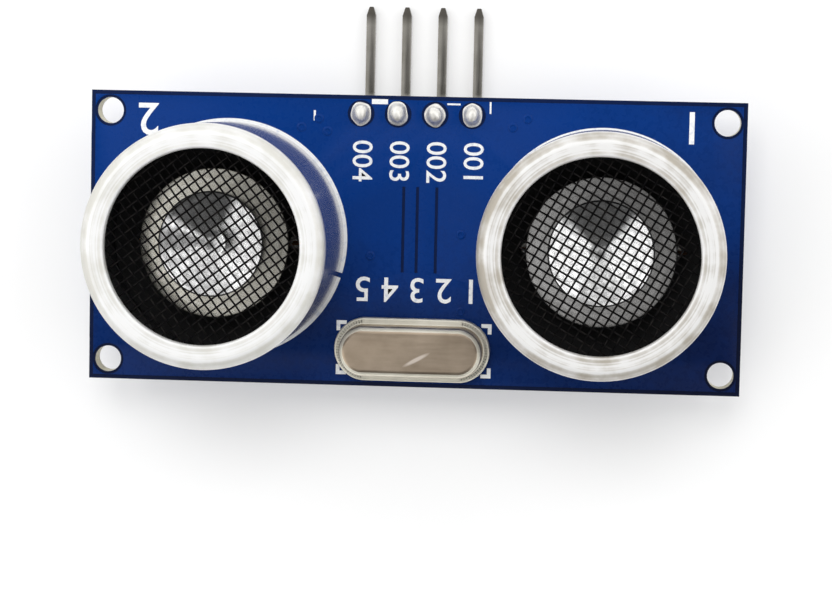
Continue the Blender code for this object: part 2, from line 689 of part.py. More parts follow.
def make_back_parts(finishes):
    """Everything that is soldered flat on the back of the board."""
    quarter = math.pi / 2
    half_spacing = TRANSDUCER_SPACING / 2
    make_package("driver_chip", finishes, DRIVER_LEADS, -half_spacing, 0.0, quarter)
    make_package("amplifier_chip", finishes, AMPLIFIER_LEADS, half_spacing, 0.0, quarter)
    make_package("controller_chip", finishes, CONTROLLER_LEADS, 0.0, CONTROLLER_Y, 0.0)

    upper = CONTROLLER_Y + CHIP_SPAN / 2 + ROW_CLEARANCE
    lower = CONTROLLER_Y - CHIP_SPAN / 2 - ROW_CLEARANCE
    inside = half_spacing - TERMINAL_SPACING / 2
    outside = half_spacing + TERMINAL_SPACING / 2
    resistors = [
        (-ROW_SPACING, upper, 0.0),
        (0.0, upper, 0.0),
        (ROW_SPACING, upper, 0.0),
        (-inside, SIDE_ROW_Y, quarter),
        (inside, SIDE_ROW_Y, quarter),
        (inside, -SIDE_ROW_Y, quarter),
        (outside, SIDE_ROW_Y, quarter),
    ]
    capacitors = [
        (-ROW_SPACING / 2, lower, 0.0),
        (ROW_SPACING / 2, lower, 0.0),
        (-outside, SIDE_ROW_Y, quarter),
        (outside, -SIDE_ROW_Y, quarter),
    ]
    for index, (x, y, turn) in enumerate(resistors):
        make_chip_part(f"resistor_{index + 1}", finishes["resistor"], RESISTOR_HEIGHT, x, y, turn)
    for index, (x, y, turn) in enumerate(capacitors):
        make_chip_part(f"capacitor_{index + 1}", finishes["capacitor"], CAPACITOR_HEIGHT, x, y, turn)
    make_transistor(finishes, -inside, -SIDE_ROW_Y, quarter)


def make_finishes():
    """One material for each kind of piece."""
    return {
        "board": finish_material("blue_solder_mask", (0.012, 0.075, 0.33), 0.35),
        "can": finish_material("satin_aluminium", (0.84, 0.84, 0.85), 0.35, 1.0),
        "screen": finish_material("dark_wire", (0.10, 0.095, 0.09), 0.45, 1.0),
        "cone": finish_material("bright_aluminium", (0.88, 0.87, 0.85), 0.22, 1.0),
        "diaphragm": finish_material("pale_alloy", (0.60, 0.58, 0.54), 0.4, 1.0),
        "ceramic": finish_material("piezo_ceramic", (0.62, 0.60, 0.52), 0.6),
        "silicone": finish_material("white_silicone", (0.80, 0.80, 0.78), 0.6),
        "base": finish_material("black_moulding", (0.02, 0.02, 0.022), 0.55),
        "terminal": finish_material("tinned_terminal", (0.72, 0.72, 0.71), 0.3, 1.0),
        "wire": finish_material("copper_wire", (0.72, 0.38, 0.22), 0.35, 1.0),
        "solder": finish_material("solder", (0.76, 0.76, 0.75), 0.25, 1.0),
        "block": finish_material("header_plastic", (0.015, 0.015, 0.016), 0.5),
        "pin": finish_material("tinned_pin", (0.74, 0.72, 0.68), 0.28, 1.0),
        "crystal": finish_material("nickel_can", (0.70, 0.67, 0.62), 0.28, 1.0),
        "crystal_base": finish_material("plated_base", (0.66, 0.64, 0.60), 0.35, 1.0),
        "quartz": finish_material("quartz", (0.82, 0.84, 0.86), 0.1),
        "package": finish_material("package_epoxy", (0.018, 0.018, 0.02), 0.55),
        "resistor": finish_material("resistor_black", (0.03, 0.03, 0.032), 0.4),
        "capacitor": finish_material("capacitor_tan", (0.42, 0.29, 0.17), 0.45),
    }


def main():
    clear_scene()
    module = bpy.data.objects.new("module", None)
    module.location = (0.0, -PIN_REACH / 2, PIN_DEPTH + PIN_SIDE / 2)
    bpy.context.collection.objects.link(module)
    finishes = make_finishes()
    make_board(finishes["board"])
    for side, sign in SIDES.items():
        make_transducer(side, sign, finishes)
    make_header(finishes)
    make_crystal(finishes)
    make_back_parts(finishes)


main()
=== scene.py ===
# %% [markdown]
# # An ultrasonic distance sensor, dressed for its portrait
# A CAD model already gives every size and every place on this small circuit board. What it lacks is
# the fine shape and the finish of each piece: the woven screens, the turned aluminium, the lacquer.
# In this lesson each piece is modelled again, in Blender, round the fixed CAD frame.

# %% Load the CAD frame
import math
from collections import namedtuple

import bmesh
import bpy
from mathutils import Matrix, Vector, noise


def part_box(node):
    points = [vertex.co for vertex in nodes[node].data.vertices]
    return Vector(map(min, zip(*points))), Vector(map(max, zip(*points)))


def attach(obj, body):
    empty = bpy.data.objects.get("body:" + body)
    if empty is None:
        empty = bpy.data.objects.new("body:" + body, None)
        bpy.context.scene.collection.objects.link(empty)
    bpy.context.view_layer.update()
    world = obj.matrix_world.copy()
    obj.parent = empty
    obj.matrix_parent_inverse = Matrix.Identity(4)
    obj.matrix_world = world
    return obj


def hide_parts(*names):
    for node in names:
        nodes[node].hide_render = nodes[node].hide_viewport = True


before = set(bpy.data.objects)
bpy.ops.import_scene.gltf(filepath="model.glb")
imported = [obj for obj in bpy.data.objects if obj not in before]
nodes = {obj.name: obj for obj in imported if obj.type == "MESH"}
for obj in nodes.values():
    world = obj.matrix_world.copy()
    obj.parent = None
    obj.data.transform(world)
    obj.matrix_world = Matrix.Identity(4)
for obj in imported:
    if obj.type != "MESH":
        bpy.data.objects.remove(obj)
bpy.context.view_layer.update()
print("CAD nodes:", len(nodes))

# %% [markdown]
# ## The bench
# Metres are awkward for a part as small as a thumb. Every piece is made on a bench where one unit is
# one millimetre and the origin is the middle of the board's front face. When a piece is done, it is
# scaled down and moved to its place in the frame, and that is applied to its mesh.

# %% Bench and frame
MM = 0.001
board_low, board_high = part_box("circuit_board")
board_middle = (board_low + board_high) / 2
HOME = Vector((board_middle.x, board_middle.y, board_high.z))
BOARD_LENGTH = (board_high.x - board_low.x) / MM
BOARD_WIDTH = (board_high.y - board_low.y) / MM
BACK = (board_low.z - board_high.z) / MM
SMOOTH_ANGLE = math.radians(35)
Box = namedtuple("Box", "low high middle axis size")


def bench_box(node):
    """A CAD node's box on the bench. Its axis is its middle, brought to the board's front face."""
    low, high = ((corner - HOME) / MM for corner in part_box(node))
    middle = (low + high) / 2
    return Box(low, high, middle, Vector((middle.x, middle.y, 0.0)), high - low)


def bare():
    """Leave edit mode and deselect everything, because an operator acts on all that is selected."""
    if bpy.context.mode != "OBJECT":
        bpy.ops.object.mode_set(mode="OBJECT")
    bpy.ops.object.select_all(action="DESELECT")


def take(*pieces):
    """Select these pieces alone; the first is the active one."""
    bare()
    for piece in pieces:
        piece.select_set(True)
    bpy.context.view_layer.objects.active = pieces[0]
    return pieces[0]


def fix_place(piece):
    """Write a piece's place, turn and scale into its mesh."""
    take(piece)
    bpy.ops.object.transform_apply(location=True, rotation=True, scale=True)
    return piece


def settle(piece, slot, *finishes, stands_for=()):
    """Bring a finished piece from the bench into the frame, with its finish and its body."""
    fix_place(piece)
    piece.scale = (MM, MM, MM)
    piece.location = HOME
    fix_place(piece)
    bpy.ops.object.shade_smooth_by_angle(angle=SMOOTH_ANGLE)
    if finishes:
        piece.data.materials.clear()
    for finish in finishes:
        piece.data.materials.append(finish)
    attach(piece, "root")
    if stands_for:
        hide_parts(*stands_for)
    return piece


print("board:", round(BOARD_LENGTH, 2), "x", round(BOARD_WIDTH, 2), "mm, back at", round(BACK, 2))

# %% [markdown]
# ## The camera
# The module lies on its back and the picture is taken from almost straight above, a little to the
# right and from the pin side. A long lens keeps both cans nearly round. Place, aim and the small roll
# were found by fitting the board's corners, the screw holes and the can rims to the picture.

# %% Camera
CAMERA_PLACE = Vector((12.970, 9.658, 171.313))
CAMERA_AIM = Vector((0.229, -4.242, 0.0))
CAMERA_UP = Vector((-0.02697, 0.99652, -0.07885))
CAMERA_LENS = 108.406
SENSOR_WIDTH = 36.0
CLIP_START = 0.01

forward = (CAMERA_AIM - CAMERA_PLACE).normalized()
right = forward.cross(CAMERA_UP).normalized()
upward = right.cross(forward)
facing = Matrix((right, upward, -forward)).transposed()
bare()
bpy.ops.object.camera_add(location=HOME + CAMERA_PLACE * MM, rotation=facing.to_euler())
camera = bpy.context.object
camera.data.lens = CAMERA_LENS
camera.data.sensor_width = SENSOR_WIDTH
camera.data.clip_start = CLIP_START
bpy.context.scene.camera = camera
print("camera looks along", [round(part, 4) for part in forward])

# %% [markdown]
# ## Shader nodes
# Light and finishes are both small nets of nodes. One helper adds a node, sets its values and links
# its inputs, so that a net reads like a recipe. Colours are written as three numbers, and the fourth,
# which says how solid a colour is, is always 1.

# %% Node helpers


def add_node(tree, kind, inputs=None, **settings):
    """Add a shader node. Each input takes a value, or a link from another node's output."""
    node = tree.nodes.new("ShaderNode" + kind)
    for name, value in settings.items():
        setattr(node, name, value)
    for name, value in (inputs or {}).items():
        socket = node.inputs[name]
        if isinstance(value, bpy.types.NodeSocket):
            tree.links.new(value, socket)
        elif socket.type == "RGBA":
            socket.default_value = (*value, 1.0)
        else:
            socket.default_value = value
    return node


def add_ramp(tree, share, stops):
    """A colour ramp through stops of (place, colour)."""
    ramp = add_node(tree, "ValToRGB", {"Fac": share})
    elements = ramp.color_ramp.elements
    for index, (place, colour) in enumerate(stops):
        element = elements[index] if index < 2 else elements.new(place)
        element.position = place
        element.color = (*colour, 1.0)
    return ramp.outputs["Color"]


def new_finish(name, colour, roughness, metallic=0.0, specular=0.5):
    """Start a finish with the shader's plain values."""
    material = bpy.data.materials.new(name)
    material.use_nodes = True
    inputs = material.node_tree.nodes["Principled BSDF"].inputs
    inputs["Base Color"].default_value = (*colour, 1.0)
    inputs["Roughness"].default_value = roughness
    inputs["Metallic"].default_value = metallic
    inputs["Specular IOR Level"].default_value = specular
    material.diffuse_color = (*colour, 1.0)
    return material


def grey(level):
    """A neutral colour."""
    return (level, level, level)


print("a middle grey is", grey(0.5))

# %% [markdown]
# ## Light and floor
# Bare metal shows what stands round it, so the light is built like a small photo tent. Its walls glow
# most at half height and its roof is a softer white. Round the camera it is grey, and the side where
# the person with the camera stands is dark. That dark side draws the dark wedge on the shiny cones.
# A soft box on the pin side throws the shadow, and one below lights the back for views from there.
# Neither of them shows in the metal.

# %% Tent
scene = bpy.context.scene
scene.view_settings.view_transform = "Standard"

TENT_GLOW = 1.9
# Height of a direction above the floor (0 level, 1 overhead) and the share of the glow there
TENT = [(0.0, 0.17), (0.34, 0.24), (0.44, 1.0), (0.68, 1.0), (0.78, 0.56), (1.0, 0.56)]
# Darker places: direction, share of the glow there, and the closeness where each starts and is full
DARK_PLACES = [
    ((0.04, -0.77, 0.64), 0.08, 0.79, 0.88),
    ((0.0, 0.74, 0.67), 0.62, 0.86, 0.96),
    ((0.55, -0.12, 0.83), 0.24, 0.955, 0.98),
    (CAMERA_PLACE, 0.125, 0.93, 0.9945),
]


def build_sky():
    """The tent: its glow by height, and its darker places."""
    world = bpy.data.worlds.new("photo_tent")
    world.use_nodes = True
    tree = world.node_tree
    where = add_node(tree, "TexCoord").outputs["Generated"]
    height = add_node(tree, "SeparateXYZ", {0: where}).outputs["Z"]
    glow = add_ramp(tree, height, [(place, grey(share)) for place, share in TENT])
    for direction, share, start, full in DARK_PLACES:
        toward = Vector(direction).normalized()
        near = add_node(tree, "VectorMath", {0: where, 1: toward}, operation="DOT_PRODUCT").outputs["Value"]
        dark = add_node(tree, "MapRange", {"Value": near, "From Min": start, "From Max": full}).outputs[0]
        glow = add_node(tree, "MixRGB", {"Fac": dark, "Color1": glow, "Color2": grey(share)}).outputs[0]
    background = tree.nodes["Background"]
    background.inputs["Strength"].default_value = TENT_GLOW
    tree.links.new(glow, background.inputs["Color"])
    scene.world = world


build_sky()
print("tent glows from", min(share for _, share in TENT), "to", max(share for _, share in TENT))

# %% Soft boxes and floor
LAMP_DISTANCE = 0.6
SOFT_BOXES = [
    # name, azimuth from +X, elevation, width, height, power
    ("lamp_pins", 96, 68, 0.26, 0.20, 1.1),
    ("lamp_under", 0, -90, 0.40, 0.40, 1.8),
]
FLOOR_SIZE = 5.0
FLOOR_TONE = 0.96
# How much white the floor gives of itself, to the eye and in mirrors
FLOOR_LIFT = 0.25


def add_soft_box(name, azimuth, elevation, width, height, power):
    """One soft box that looks at the module."""
    around = math.radians(azimuth)
    up = math.radians(elevation)
    outward = Vector((math.cos(around) * math.cos(up), math.sin(around) * math.cos(up), math.sin(up)))
    turn = outward.to_track_quat("Z", "Y").to_euler()
    bare()
    bpy.ops.object.light_add(type="AREA", location=HOME + outward * LAMP_DISTANCE, rotation=turn)
    lamp = bpy.context.object
    lamp.name = name
    lamp.data.shape = "RECTANGLE"
    lamp.data.size = width
    lamp.data.size_y = height
    lamp.data.energy = power
    lamp.visible_camera = False
    lamp.visible_glossy = False


def larger(tree, first, second):
    """The larger of two values; for kinds of rays, the one or the other."""
    return add_node(tree, "Math", {0: first, 1: second}, operation="MAXIMUM").outputs[0]


def build_floor():
    """A large pale floor, whitened a little for the eye alone, and clear for all that comes from below."""
    bare()
    bpy.ops.mesh.primitive_plane_add(size=FLOOR_SIZE)
    floor = bpy.context.object
    floor.name = "floor"
    material = new_finish("floor_white", grey(FLOOR_TONE), 0.9, specular=0.1)
    tree = material.node_tree
    rays = add_node(tree, "LightPath").outputs
    seen = larger(tree, rays["Is Glossy Ray"], rays["Is Transmission Ray"])
    seen = larger(tree, rays["Is Camera Ray"], seen)
    lift = add_node(tree, "Math", {0: seen, 1: FLOOR_LIFT}, operation="MULTIPLY").outputs[0]
    paint = tree.nodes["Principled BSDF"].outputs[0]
    glow = add_node(tree, "Emission", {"Strength": 1.0}).outputs[0]
    pale = add_node(tree, "MixShader", {0: lift, 1: paint, 2: glow}).outputs[0]
    below = add_node(tree, "NewGeometry").outputs["Backfacing"]
    passing = larger(tree, below, rays["Is Shadow Ray"])
    clear = add_node(tree, "BsdfTransparent").outputs[0]
    whole = add_node(tree, "MixShader", {0: passing, 1: pale, 2: clear}).outputs[0]
    tree.links.new(whole, tree.nodes["Material Output"].inputs["Surface"])
    floor.data.materials.append(material)


build_floor()
for box in SOFT_BOXES:
    add_soft_box(*box)
print("soft boxes:", [box[0] for box in SOFT_BOXES])

# %% [markdown]
# ## Finishes
# A finish starts from plain values and then gets the small changes that a real surface has. Every
# pattern is laid out in millimetres from a chosen middle, so that its scale can be read off the part.
# Three small helpers do most of the work: one lets the colour wander, one the gloss, one adds relief.

# %% Patterns


def millimetres(material, middle=(0.0, 0.0, 0.0), stretch=(1.0, 1.0, 1.0)):
    """Place on the bench in millimetres from a middle, stretched for the pattern."""
    tree = material.node_tree
    place = add_node(tree, "TexCoord").outputs["Object"]
    shift = -(HOME / MM + Vector(middle))
    whole = (1 / MM, 1 / MM, 1 / MM)
    on_bench = add_node(tree, "Mapping", {"Vector": place, "Location": shift, "Scale": whole}).outputs[0]
    return add_node(tree, "Mapping", {"Vector": on_bench, "Scale": stretch}).outputs[0]


def grain(material, where, scale, detail=3.0):
    """Noise with a grain of so many waves to the millimetre."""
    inputs = {"Vector": where, "Scale": scale, "Detail": detail}
    return add_node(material.node_tree, "TexNoise", inputs).outputs["Fac"]


def mix_shares(material, first, second, share):
    """Blend two noises into one."""
    return add_node(material.node_tree, "Mix", {"Factor": share, "A": first, "B": second}).outputs["Result"]


def fit_range(material, share, low, high, start=0.0, end=1.0):
    """Spread a share over a range, from low at start to high at end."""
    inputs = {"Value": share, "From Min": start, "From Max": end, "To Min": low, "To Max": high}
    return add_node(material.node_tree, "MapRange", inputs).outputs[0]


def share_along(material, axis, start, end):
    """A share that grows from 0 to 1 between two places along an axis of the bench."""
    place = add_node(material.node_tree, "SeparateXYZ", {0: millimetres(material)}).outputs[axis]
    return fit_range(material, place, 0.0, 1.0, start, end)


print("patterns are laid out from", [round(part, 5) for part in HOME])

# %% What a pattern changes
MICRON = 0.000001


def lead_to(material, source, socket):
    """Lead a node's output to a socket of the shader."""
    tree = material.node_tree
    tree.links.new(source, tree.nodes["Principled BSDF"].inputs[socket])
    return source


def colour_so_far(material):
    """The output that the base colour comes from at present."""
    return material.node_tree.nodes["Principled BSDF"].inputs["Base Color"].links[0].from_socket


def wander_colour(material, share, dark, light, low=0.35, high=0.65):
    """Let the base colour wander between two tones."""
    ramp = add_ramp(material.node_tree, share, [(low, dark), (high, light)])
    return lead_to(material, ramp, "Base Color")


def wander_gloss(material, share, low, high, start=0.3, end=0.7):
    """Let the roughness wander between two values while a share goes from start to end."""
    lead_to(material, fit_range(material, share, low, high, start, end), "Roughness")


def lay_over(material, share, under, over):
    """Show one colour over another where a share says so. Each colour is a tone or a socket."""
    mix = add_node(material.node_tree, "MixRGB", {"Fac": share, "Color1": under, "Color2": over})
    return lead_to(material, mix.outputs[0], "Base Color")


def add_relief(material, share, depth, strength=1.0):
    """Fine relief of a given depth in metres."""
    bump = add_node(material.node_tree, "Bump", {"Height": share, "Distance": depth, "Strength": strength})
    lead_to(material, bump.outputs["Normal"], "Normal")


print("relief is measured in steps of", MICRON, "m")

# %% [markdown]
# ### Turned aluminium
# The cans are drawn from aluminium sheet and then faced on a lathe. The marks run round the lip and
# round the wall. Distance from the can's axis plus height changes across both faces, so one line of
# noise along that sum draws the marks on lip and wall alike, with no seam. Slow smears in the other
# direction break them. The lip is blasted whiter and rougher than the wall, and the wall's darker tone
# is partly painted shade.

# %% Aluminium
ALUMINIUM = (0.92, 0.92, 0.92)
# The finish changes from wall to lip between these depths below the can's front
LIP_START = 1.2
LIP_FULL = 0.3
WALL_METAL = 0.88
LIP_METAL = 0.55
# Tones of the wall: darker than the lip, partly as painted shade
WALL_DARK = (0.495, 0.48, 0.49)
WALL_LIGHT = (0.615, 0.60, 0.61)
# Tones of each lip: the right lip is darker, partly from stains and partly as painted shade
LIP_STAIN_AND_SHADE = {"left": (0.76, 0.75, 0.70), "right": (0.50, 0.46, 0.395)}
LIP_CLEAN_AND_SHADE = {"left": (0.955, 0.955, 0.95), "right": (0.89, 0.885, 0.875)}


def turned_marks(material, middle, fineness):
    """Noise along (distance from the axis + height): rings on a flat face, lines round a wall."""
    tree = material.node_tree
    place = add_node(tree, "SeparateXYZ", {0: millimetres(material, middle)}).outputs
    flat = add_node(tree, "CombineXYZ", {"X": place["X"], "Y": place["Y"]}).outputs[0]
    radius = add_node(tree, "VectorMath", {0: flat}, operation="LENGTH").outputs["Value"]
    along = add_node(tree, "Math", {0: radius, 1: place["Z"]}, operation="ADD").outputs[0]
    inputs = {"W": along, "Scale": fineness, "Detail": 4.0}
    return add_node(tree, "TexNoise", inputs, noise_dimensions="1D").outputs["Fac"]


def can_finish(side, middle, top):
    """Aluminium with turning marks centred on one can: drawn bright on the wall, blasted on the lip; the
    wall's darker tone is partly painted shade.
    """
    material = new_finish(side + "_satin_aluminium", ALUMINIUM, 0.5, WALL_METAL)
    lines = turned_marks(material, middle, 3.4)
    smears = grain(material, millimetres(material, middle), 0.45, 5.0)
    both = mix_shares(material, lines, smears, 0.55)
    lip = share_along(material, "Z", top - LIP_START, top - LIP_FULL)
    # The right lip's darker tones are partly painted shade
    lip_colour = wander_colour(material, both, LIP_STAIN_AND_SHADE[side], LIP_CLEAN_AND_SHADE[side], 0.37, 0.54)
    # The wall's darker tones are partly painted shade
    wall_colour = wander_colour(material, both, WALL_DARK, WALL_LIGHT, 0.34, 0.60)
    lay_over(material, lip, wall_colour, lip_colour)
    lead_to(material, fit_range(material, lip, WALL_METAL, LIP_METAL), "Metallic")
    wander_gloss(material, mix_shares(material, lip, smears, 0.1), 0.15, 0.62, 0.05, 0.95)
    add_relief(material, lines, 1.5 * MICRON, 0.5)
    return material


print("tones of the lips:", LIP_CLEAN_AND_SHADE)

# %% Spun metal
# Tones of the disc under each cone: the left one is brassy, the right one greyer and darker, partly as
# painted shade
DISC_DARK = {"left": (0.84, 0.81, 0.71), "right": (0.57, 0.56, 0.55)}
DISC_LIGHT = {"left": (0.94, 0.92, 0.83), "right": (0.68, 0.67, 0.66)}


def disc_finish(side, middle):
    """Pale alloy of the disc under the cone, with faint turning marks."""
    material = new_finish(side + "_pale_alloy", DISC_LIGHT[side], 0.2, 1.0)
    lines = turned_marks(material, middle, 4.0)
    wander_colour(material, lines, DISC_DARK[side], DISC_LIGHT[side])
    wander_gloss(material, grain(material, millimetres(material, middle), 1.5), 0.16, 0.26)
    add_relief(material, lines, 0.5 * MICRON, 0.3)
    return material


def cone_finish(side, middle):
    """Bright spun aluminium."""
    material = new_finish(side + "_bright_aluminium", ALUMINIUM, 0.14, 1.0)
    lines = turned_marks(material, middle, 6.0)
    wander_colour(material, lines, grey(0.86), grey(0.95))
    wander_gloss(material, grain(material, millimetres(material, middle), 1.5), 0.10, 0.14)
    add_relief(material, lines, 0.4 * MICRON, 0.2)
    return material


print("tones of the discs:", DISC_LIGHT)

# %% [markdown]
# ### The inside and the net
# The inside of a can is painted dull and dark as painted shade, so that little light comes back from it.
# The net is woven from thin dark wire. Its gloss is uneven, which gives the faint glints where wires cross.

# %% Dark finishes


def dull_black(name, level, roughness, grain_scale):
    """Black moulded plastic with a fine grain, also used as the painted shade inside the cans."""
    tone = (level, level, level * 1.05)
    material = new_finish(name, tone, roughness)
    fine = grain(material, millimetres(material), grain_scale)
    wander_colour(material, fine, [part * 0.75 for part in tone], [part * 1.3 for part in tone])
    wander_gloss(material, fine, roughness - 0.08, roughness + 0.08)
    add_relief(material, fine, 6 * MICRON, 0.5)
    return material


def net_finish():
    """Dark steel wire."""
    material = new_finish("dark_wire", (0.014, 0.013, 0.013), 0.45, 1.0)
    fine = grain(material, millimetres(material), 2.5)
    wander_colour(material, fine, (0.008, 0.008, 0.009), (0.024, 0.022, 0.021))
    wander_gloss(material, fine, 0.36, 0.55)
    return material


# Painted shade: the inside of each can is bare aluminium, painted dull and nearly black
INSIDE_PAINTED_SHADE = dull_black("inside_painted_shade", 0.045, 0.6, 6.0)
NET_WIRE = net_finish()
print("finishes so far:", len(bpy.data.materials))

# %% [markdown]
# ## The cans
# A can is a tube whose front edge is rolled in to a flat lip that holds the net. It is a
# profile of a few points, spun once round the axis. The spin leaves a double seam and may turn faces
# round, so the doubles are merged and the normals made consistent. 128 steps keep the rim round.

# %% Lathe
MERGE = 0.0002
CAN_STEPS = 128


def edit(piece):
    """Open one piece in edit mode, all of it selected."""
    take(piece)
    bpy.ops.object.mode_set(mode="EDIT")
    bpy.ops.mesh.select_all(action="SELECT")


def pull(x, y, z):
    """In edit mode: extrude what is selected and move it."""
    bpy.ops.mesh.extrude_region_move(TRANSFORM_OT_translate={"value": (x, y, z)})


def finish_edit():
    """Merge doubles, turn every face outwards and leave edit mode."""
    bpy.ops.mesh.select_all(action="SELECT")
    bpy.ops.mesh.remove_doubles(threshold=MERGE)
    bpy.ops.mesh.normals_make_consistent(inside=False)
    bpy.ops.object.mode_set(mode="OBJECT")


def arc(across, up, radius, start, end, steps):
    """Points on an arc of a profile, angles in degrees."""
    points = []
    for step in range(steps + 1):
        angle = math.radians(start + (end - start) * step / steps)
        points.append((across + radius * math.cos(angle), up + radius * math.sin(angle)))
    return points


def polyline(name, points):
    """One vertex, extruded from point to point. Edit mode stays open with the whole line selected."""
    bare()
    bpy.ops.mesh.primitive_plane_add(size=1.0)
    line = bpy.context.object
    line.name = name
    edit(line)
    bpy.ops.mesh.select_mode(type="VERT")
    bpy.ops.mesh.merge(type="CENTER")
    bpy.ops.transform.translate(value=points[0])
    for here, there in zip(points, points[1:]):
        pull(*(Vector(there) - Vector(here)))
    bpy.ops.mesh.select_all(action="SELECT")
    return line


def lathe(name, profile, middle, steps):
    """Spin a profile of (radius, height) points round the axis."""
    piece = polyline(name, [(across, 0.0, up) for across, up in profile])
    bpy.ops.mesh.spin(steps=steps, angle=math.tau, center=(0, 0, 0), axis=(0, 0, 1))
    finish_edit()
    piece.location = middle
    return piece


print("one step round a can:", round(math.pi * bench_box("left_can").size.x / CAN_STEPS, 2), "mm")

# %% Cans
SIDES = ("left", "right")
MOUTH_RADIUS = 6.37
LIP_THICKNESS = 0.6
EDGE_RADIUS = 0.8
MOUTH_ROUND = 0.18
CAN_WALL = 0.5
FOOT_ROUND = 0.05
# Extra rings close to each rounding keep the shading of lip and wall flat
HOLD = 0.05
PAINT_SLACK = 0.02


def paint_faces(piece, number, test):
    """Give the faces that pass a test another of the piece's finishes."""
    for face in piece.data.polygons:
        if test(face.center, face.normal):
            face.material_index = number


def make_can(side):
    """Turned can with a rolled lip; its inside gets a dull dark finish as painted shade."""
    box = bench_box(side + "_can")
    radius = box.size.x / 2
    foot = box.low.z
    top = box.high.z
    under_lip = top - LIP_THICKNESS
    inner = radius - CAN_WALL
    profile = [(MOUTH_RADIUS, under_lip)]
    profile += arc(MOUTH_RADIUS + MOUTH_ROUND, top - MOUTH_ROUND, MOUTH_ROUND, 180, 90, steps=5)
    profile += [(MOUTH_RADIUS + MOUTH_ROUND + HOLD, top), (radius - EDGE_RADIUS - HOLD, top)]
    profile += arc(radius - EDGE_RADIUS, top - EDGE_RADIUS, EDGE_RADIUS, 90, 0, steps=12)
    profile += [(radius, top - EDGE_RADIUS - HOLD), (radius, foot + FOOT_ROUND + HOLD)]
    profile += arc(radius - FOOT_ROUND, foot + FOOT_ROUND, FOOT_ROUND, 0, -90, steps=4)
    profile += [(inner, foot), (inner, under_lip), (MOUTH_RADIUS, under_lip)]
    can = lathe(side + "_can_shell", profile, box.axis, CAN_STEPS)
    settle(can, "can", can_finish(side, box.axis, top), INSIDE_PAINTED_SHADE, stands_for=[side + "_can"])

    def faces_in(place, normal):
        spot = (place - HOME) / MM - box.axis
        return math.hypot(spot.x, spot.y) < inner + PAINT_SLACK and spot.z < under_lip + PAINT_SLACK

    # The faces inside the can get the dark painted shade
    paint_faces(can, 1, faces_in)
    return can


for side in SIDES:
    can = make_can(side)
    print(can.name, "has", len(can.data.polygons), "faces")

# %% [markdown]
# ## The woven net
# The net is a plain weave: each wire goes over one crossing wire and under the next. A flat grid would
# look like printed lines, so each wire is a wave, and neighbours are half a wave apart. Curves are the
# natural tool: one poly spline for each wire, a round bevel for its thickness, then it all turns into
# a mesh.

# %% Net
# Distance between neighbouring wires: those that run along the net's X, and those that cross them
WARP_PITCH = 0.615
WEFT_PITCH = 0.53
WIRE_RADIUS = 0.063
POINTS_PER_CROSSING = 4
NET_TURN = {"left": math.radians(37.3), "right": math.radians(60.8)}


def round_bars(name, lines, radius, resolution):
    """Round bars along lines of points, as a mesh."""
    curve = bpy.data.curves.new(name, "CURVE")
    curve.dimensions = "3D"
    curve.bevel_depth = radius
    curve.bevel_resolution = resolution
    curve.use_fill_caps = True
    for line in lines:
        spline = curve.splines.new("POLY")
        spline.points.add(len(line) - 1)
        for point, place in zip(spline.points, line):
            point.co = (*place, 1.0)
    bars = bpy.data.objects.new(name, curve)
    bpy.context.collection.objects.link(bars)
    take(bars)
    bpy.ops.object.convert(target="MESH")
    return bpy.context.object


def weave_points(offset, half_length, crossing_pitch, phase):
    """One wire of the net, waving over and under the wires that cross it."""
    count = max(4, round(2 * half_length / crossing_pitch * POINTS_PER_CROSSING))
    points = []
    for index in range(count + 1):
        along = -half_length + 2 * half_length * index / count
        height = WIRE_RADIUS * math.cos(math.pi * along / crossing_pitch + phase)
        points.append((along, offset, height))
    return points


def make_net(side):
    """Both sets of wires of one net, cut to the round of the can."""
    box = bench_box(side + "_screen")
    reach = box.size.x / 2
    lines = []
    for crosswise, pitch, crossing_pitch in ((0, WARP_PITCH, WEFT_PITCH), (1, WEFT_PITCH, WARP_PITCH)):
        rows = int(reach / pitch)
        for row in range(-rows, rows + 1):
            offset = row * pitch
            half_length = math.sqrt(reach ** 2 - offset ** 2)
            if half_length < pitch:
                continue
            points = weave_points(offset, half_length, crossing_pitch, math.pi * (row + crosswise))
            lines.append([(-y, x, z) for x, y, z in points] if crosswise else points)
    net = round_bars(side + "_screen_weave", lines, WIRE_RADIUS, 1)
    net.location = box.middle
    net.rotation_euler = (0.0, 0.0, NET_TURN[side])
    return settle(net, "screen", NET_WIRE, stands_for=[side + "_screen"])


for side in SIDES:
    net = make_net(side)
    print(net.name, "has", len(net.data.polygons), "faces")

# %% [markdown]
# ## Cone and disc
# Behind the net stands a small spun cone on a metal disc. Both are turned pieces, so the lathe makes
# them too. The cone's wall is a thin sheet, and its sides are very slightly hollow, like a horn.

# %% Cones and discs
CONE_WALL = 0.14
CONE_HOLLOW = 0.02
CONE_FOOT = 0.6
CONE_POINTS = 10
DISC_ROUND = 0.08
INNER_STEPS = 96


def make_cone(side):
    """Spun horn with a small flat foot."""
    box = bench_box(side + "_cone")
    low = box.low.z
    rim = box.size.x / 2
    upper = [(0.0, low + CONE_WALL)]
    lower = [(0.0, low)]
    for step in range(CONE_POINTS + 1):
        share = step / CONE_POINTS
        sag = CONE_HOLLOW * math.sin(math.pi * share)
        across = CONE_FOOT + (rim - CONE_WALL / 2 - CONE_FOOT) * share
        height = max(low + (box.size.z - CONE_WALL) * share - sag * share, low)
        upper.append((across - CONE_WALL / 4, height + CONE_WALL))
        lower.append((across + CONE_WALL / 4, height))
    profile = upper + [(rim, box.high.z - CONE_WALL / 2)] + lower[::-1]
    cone = lathe(side + "_cone_horn", profile, box.axis, INNER_STEPS)
    return settle(cone, "cone", cone_finish(side, box.axis), stands_for=[side + "_cone"])


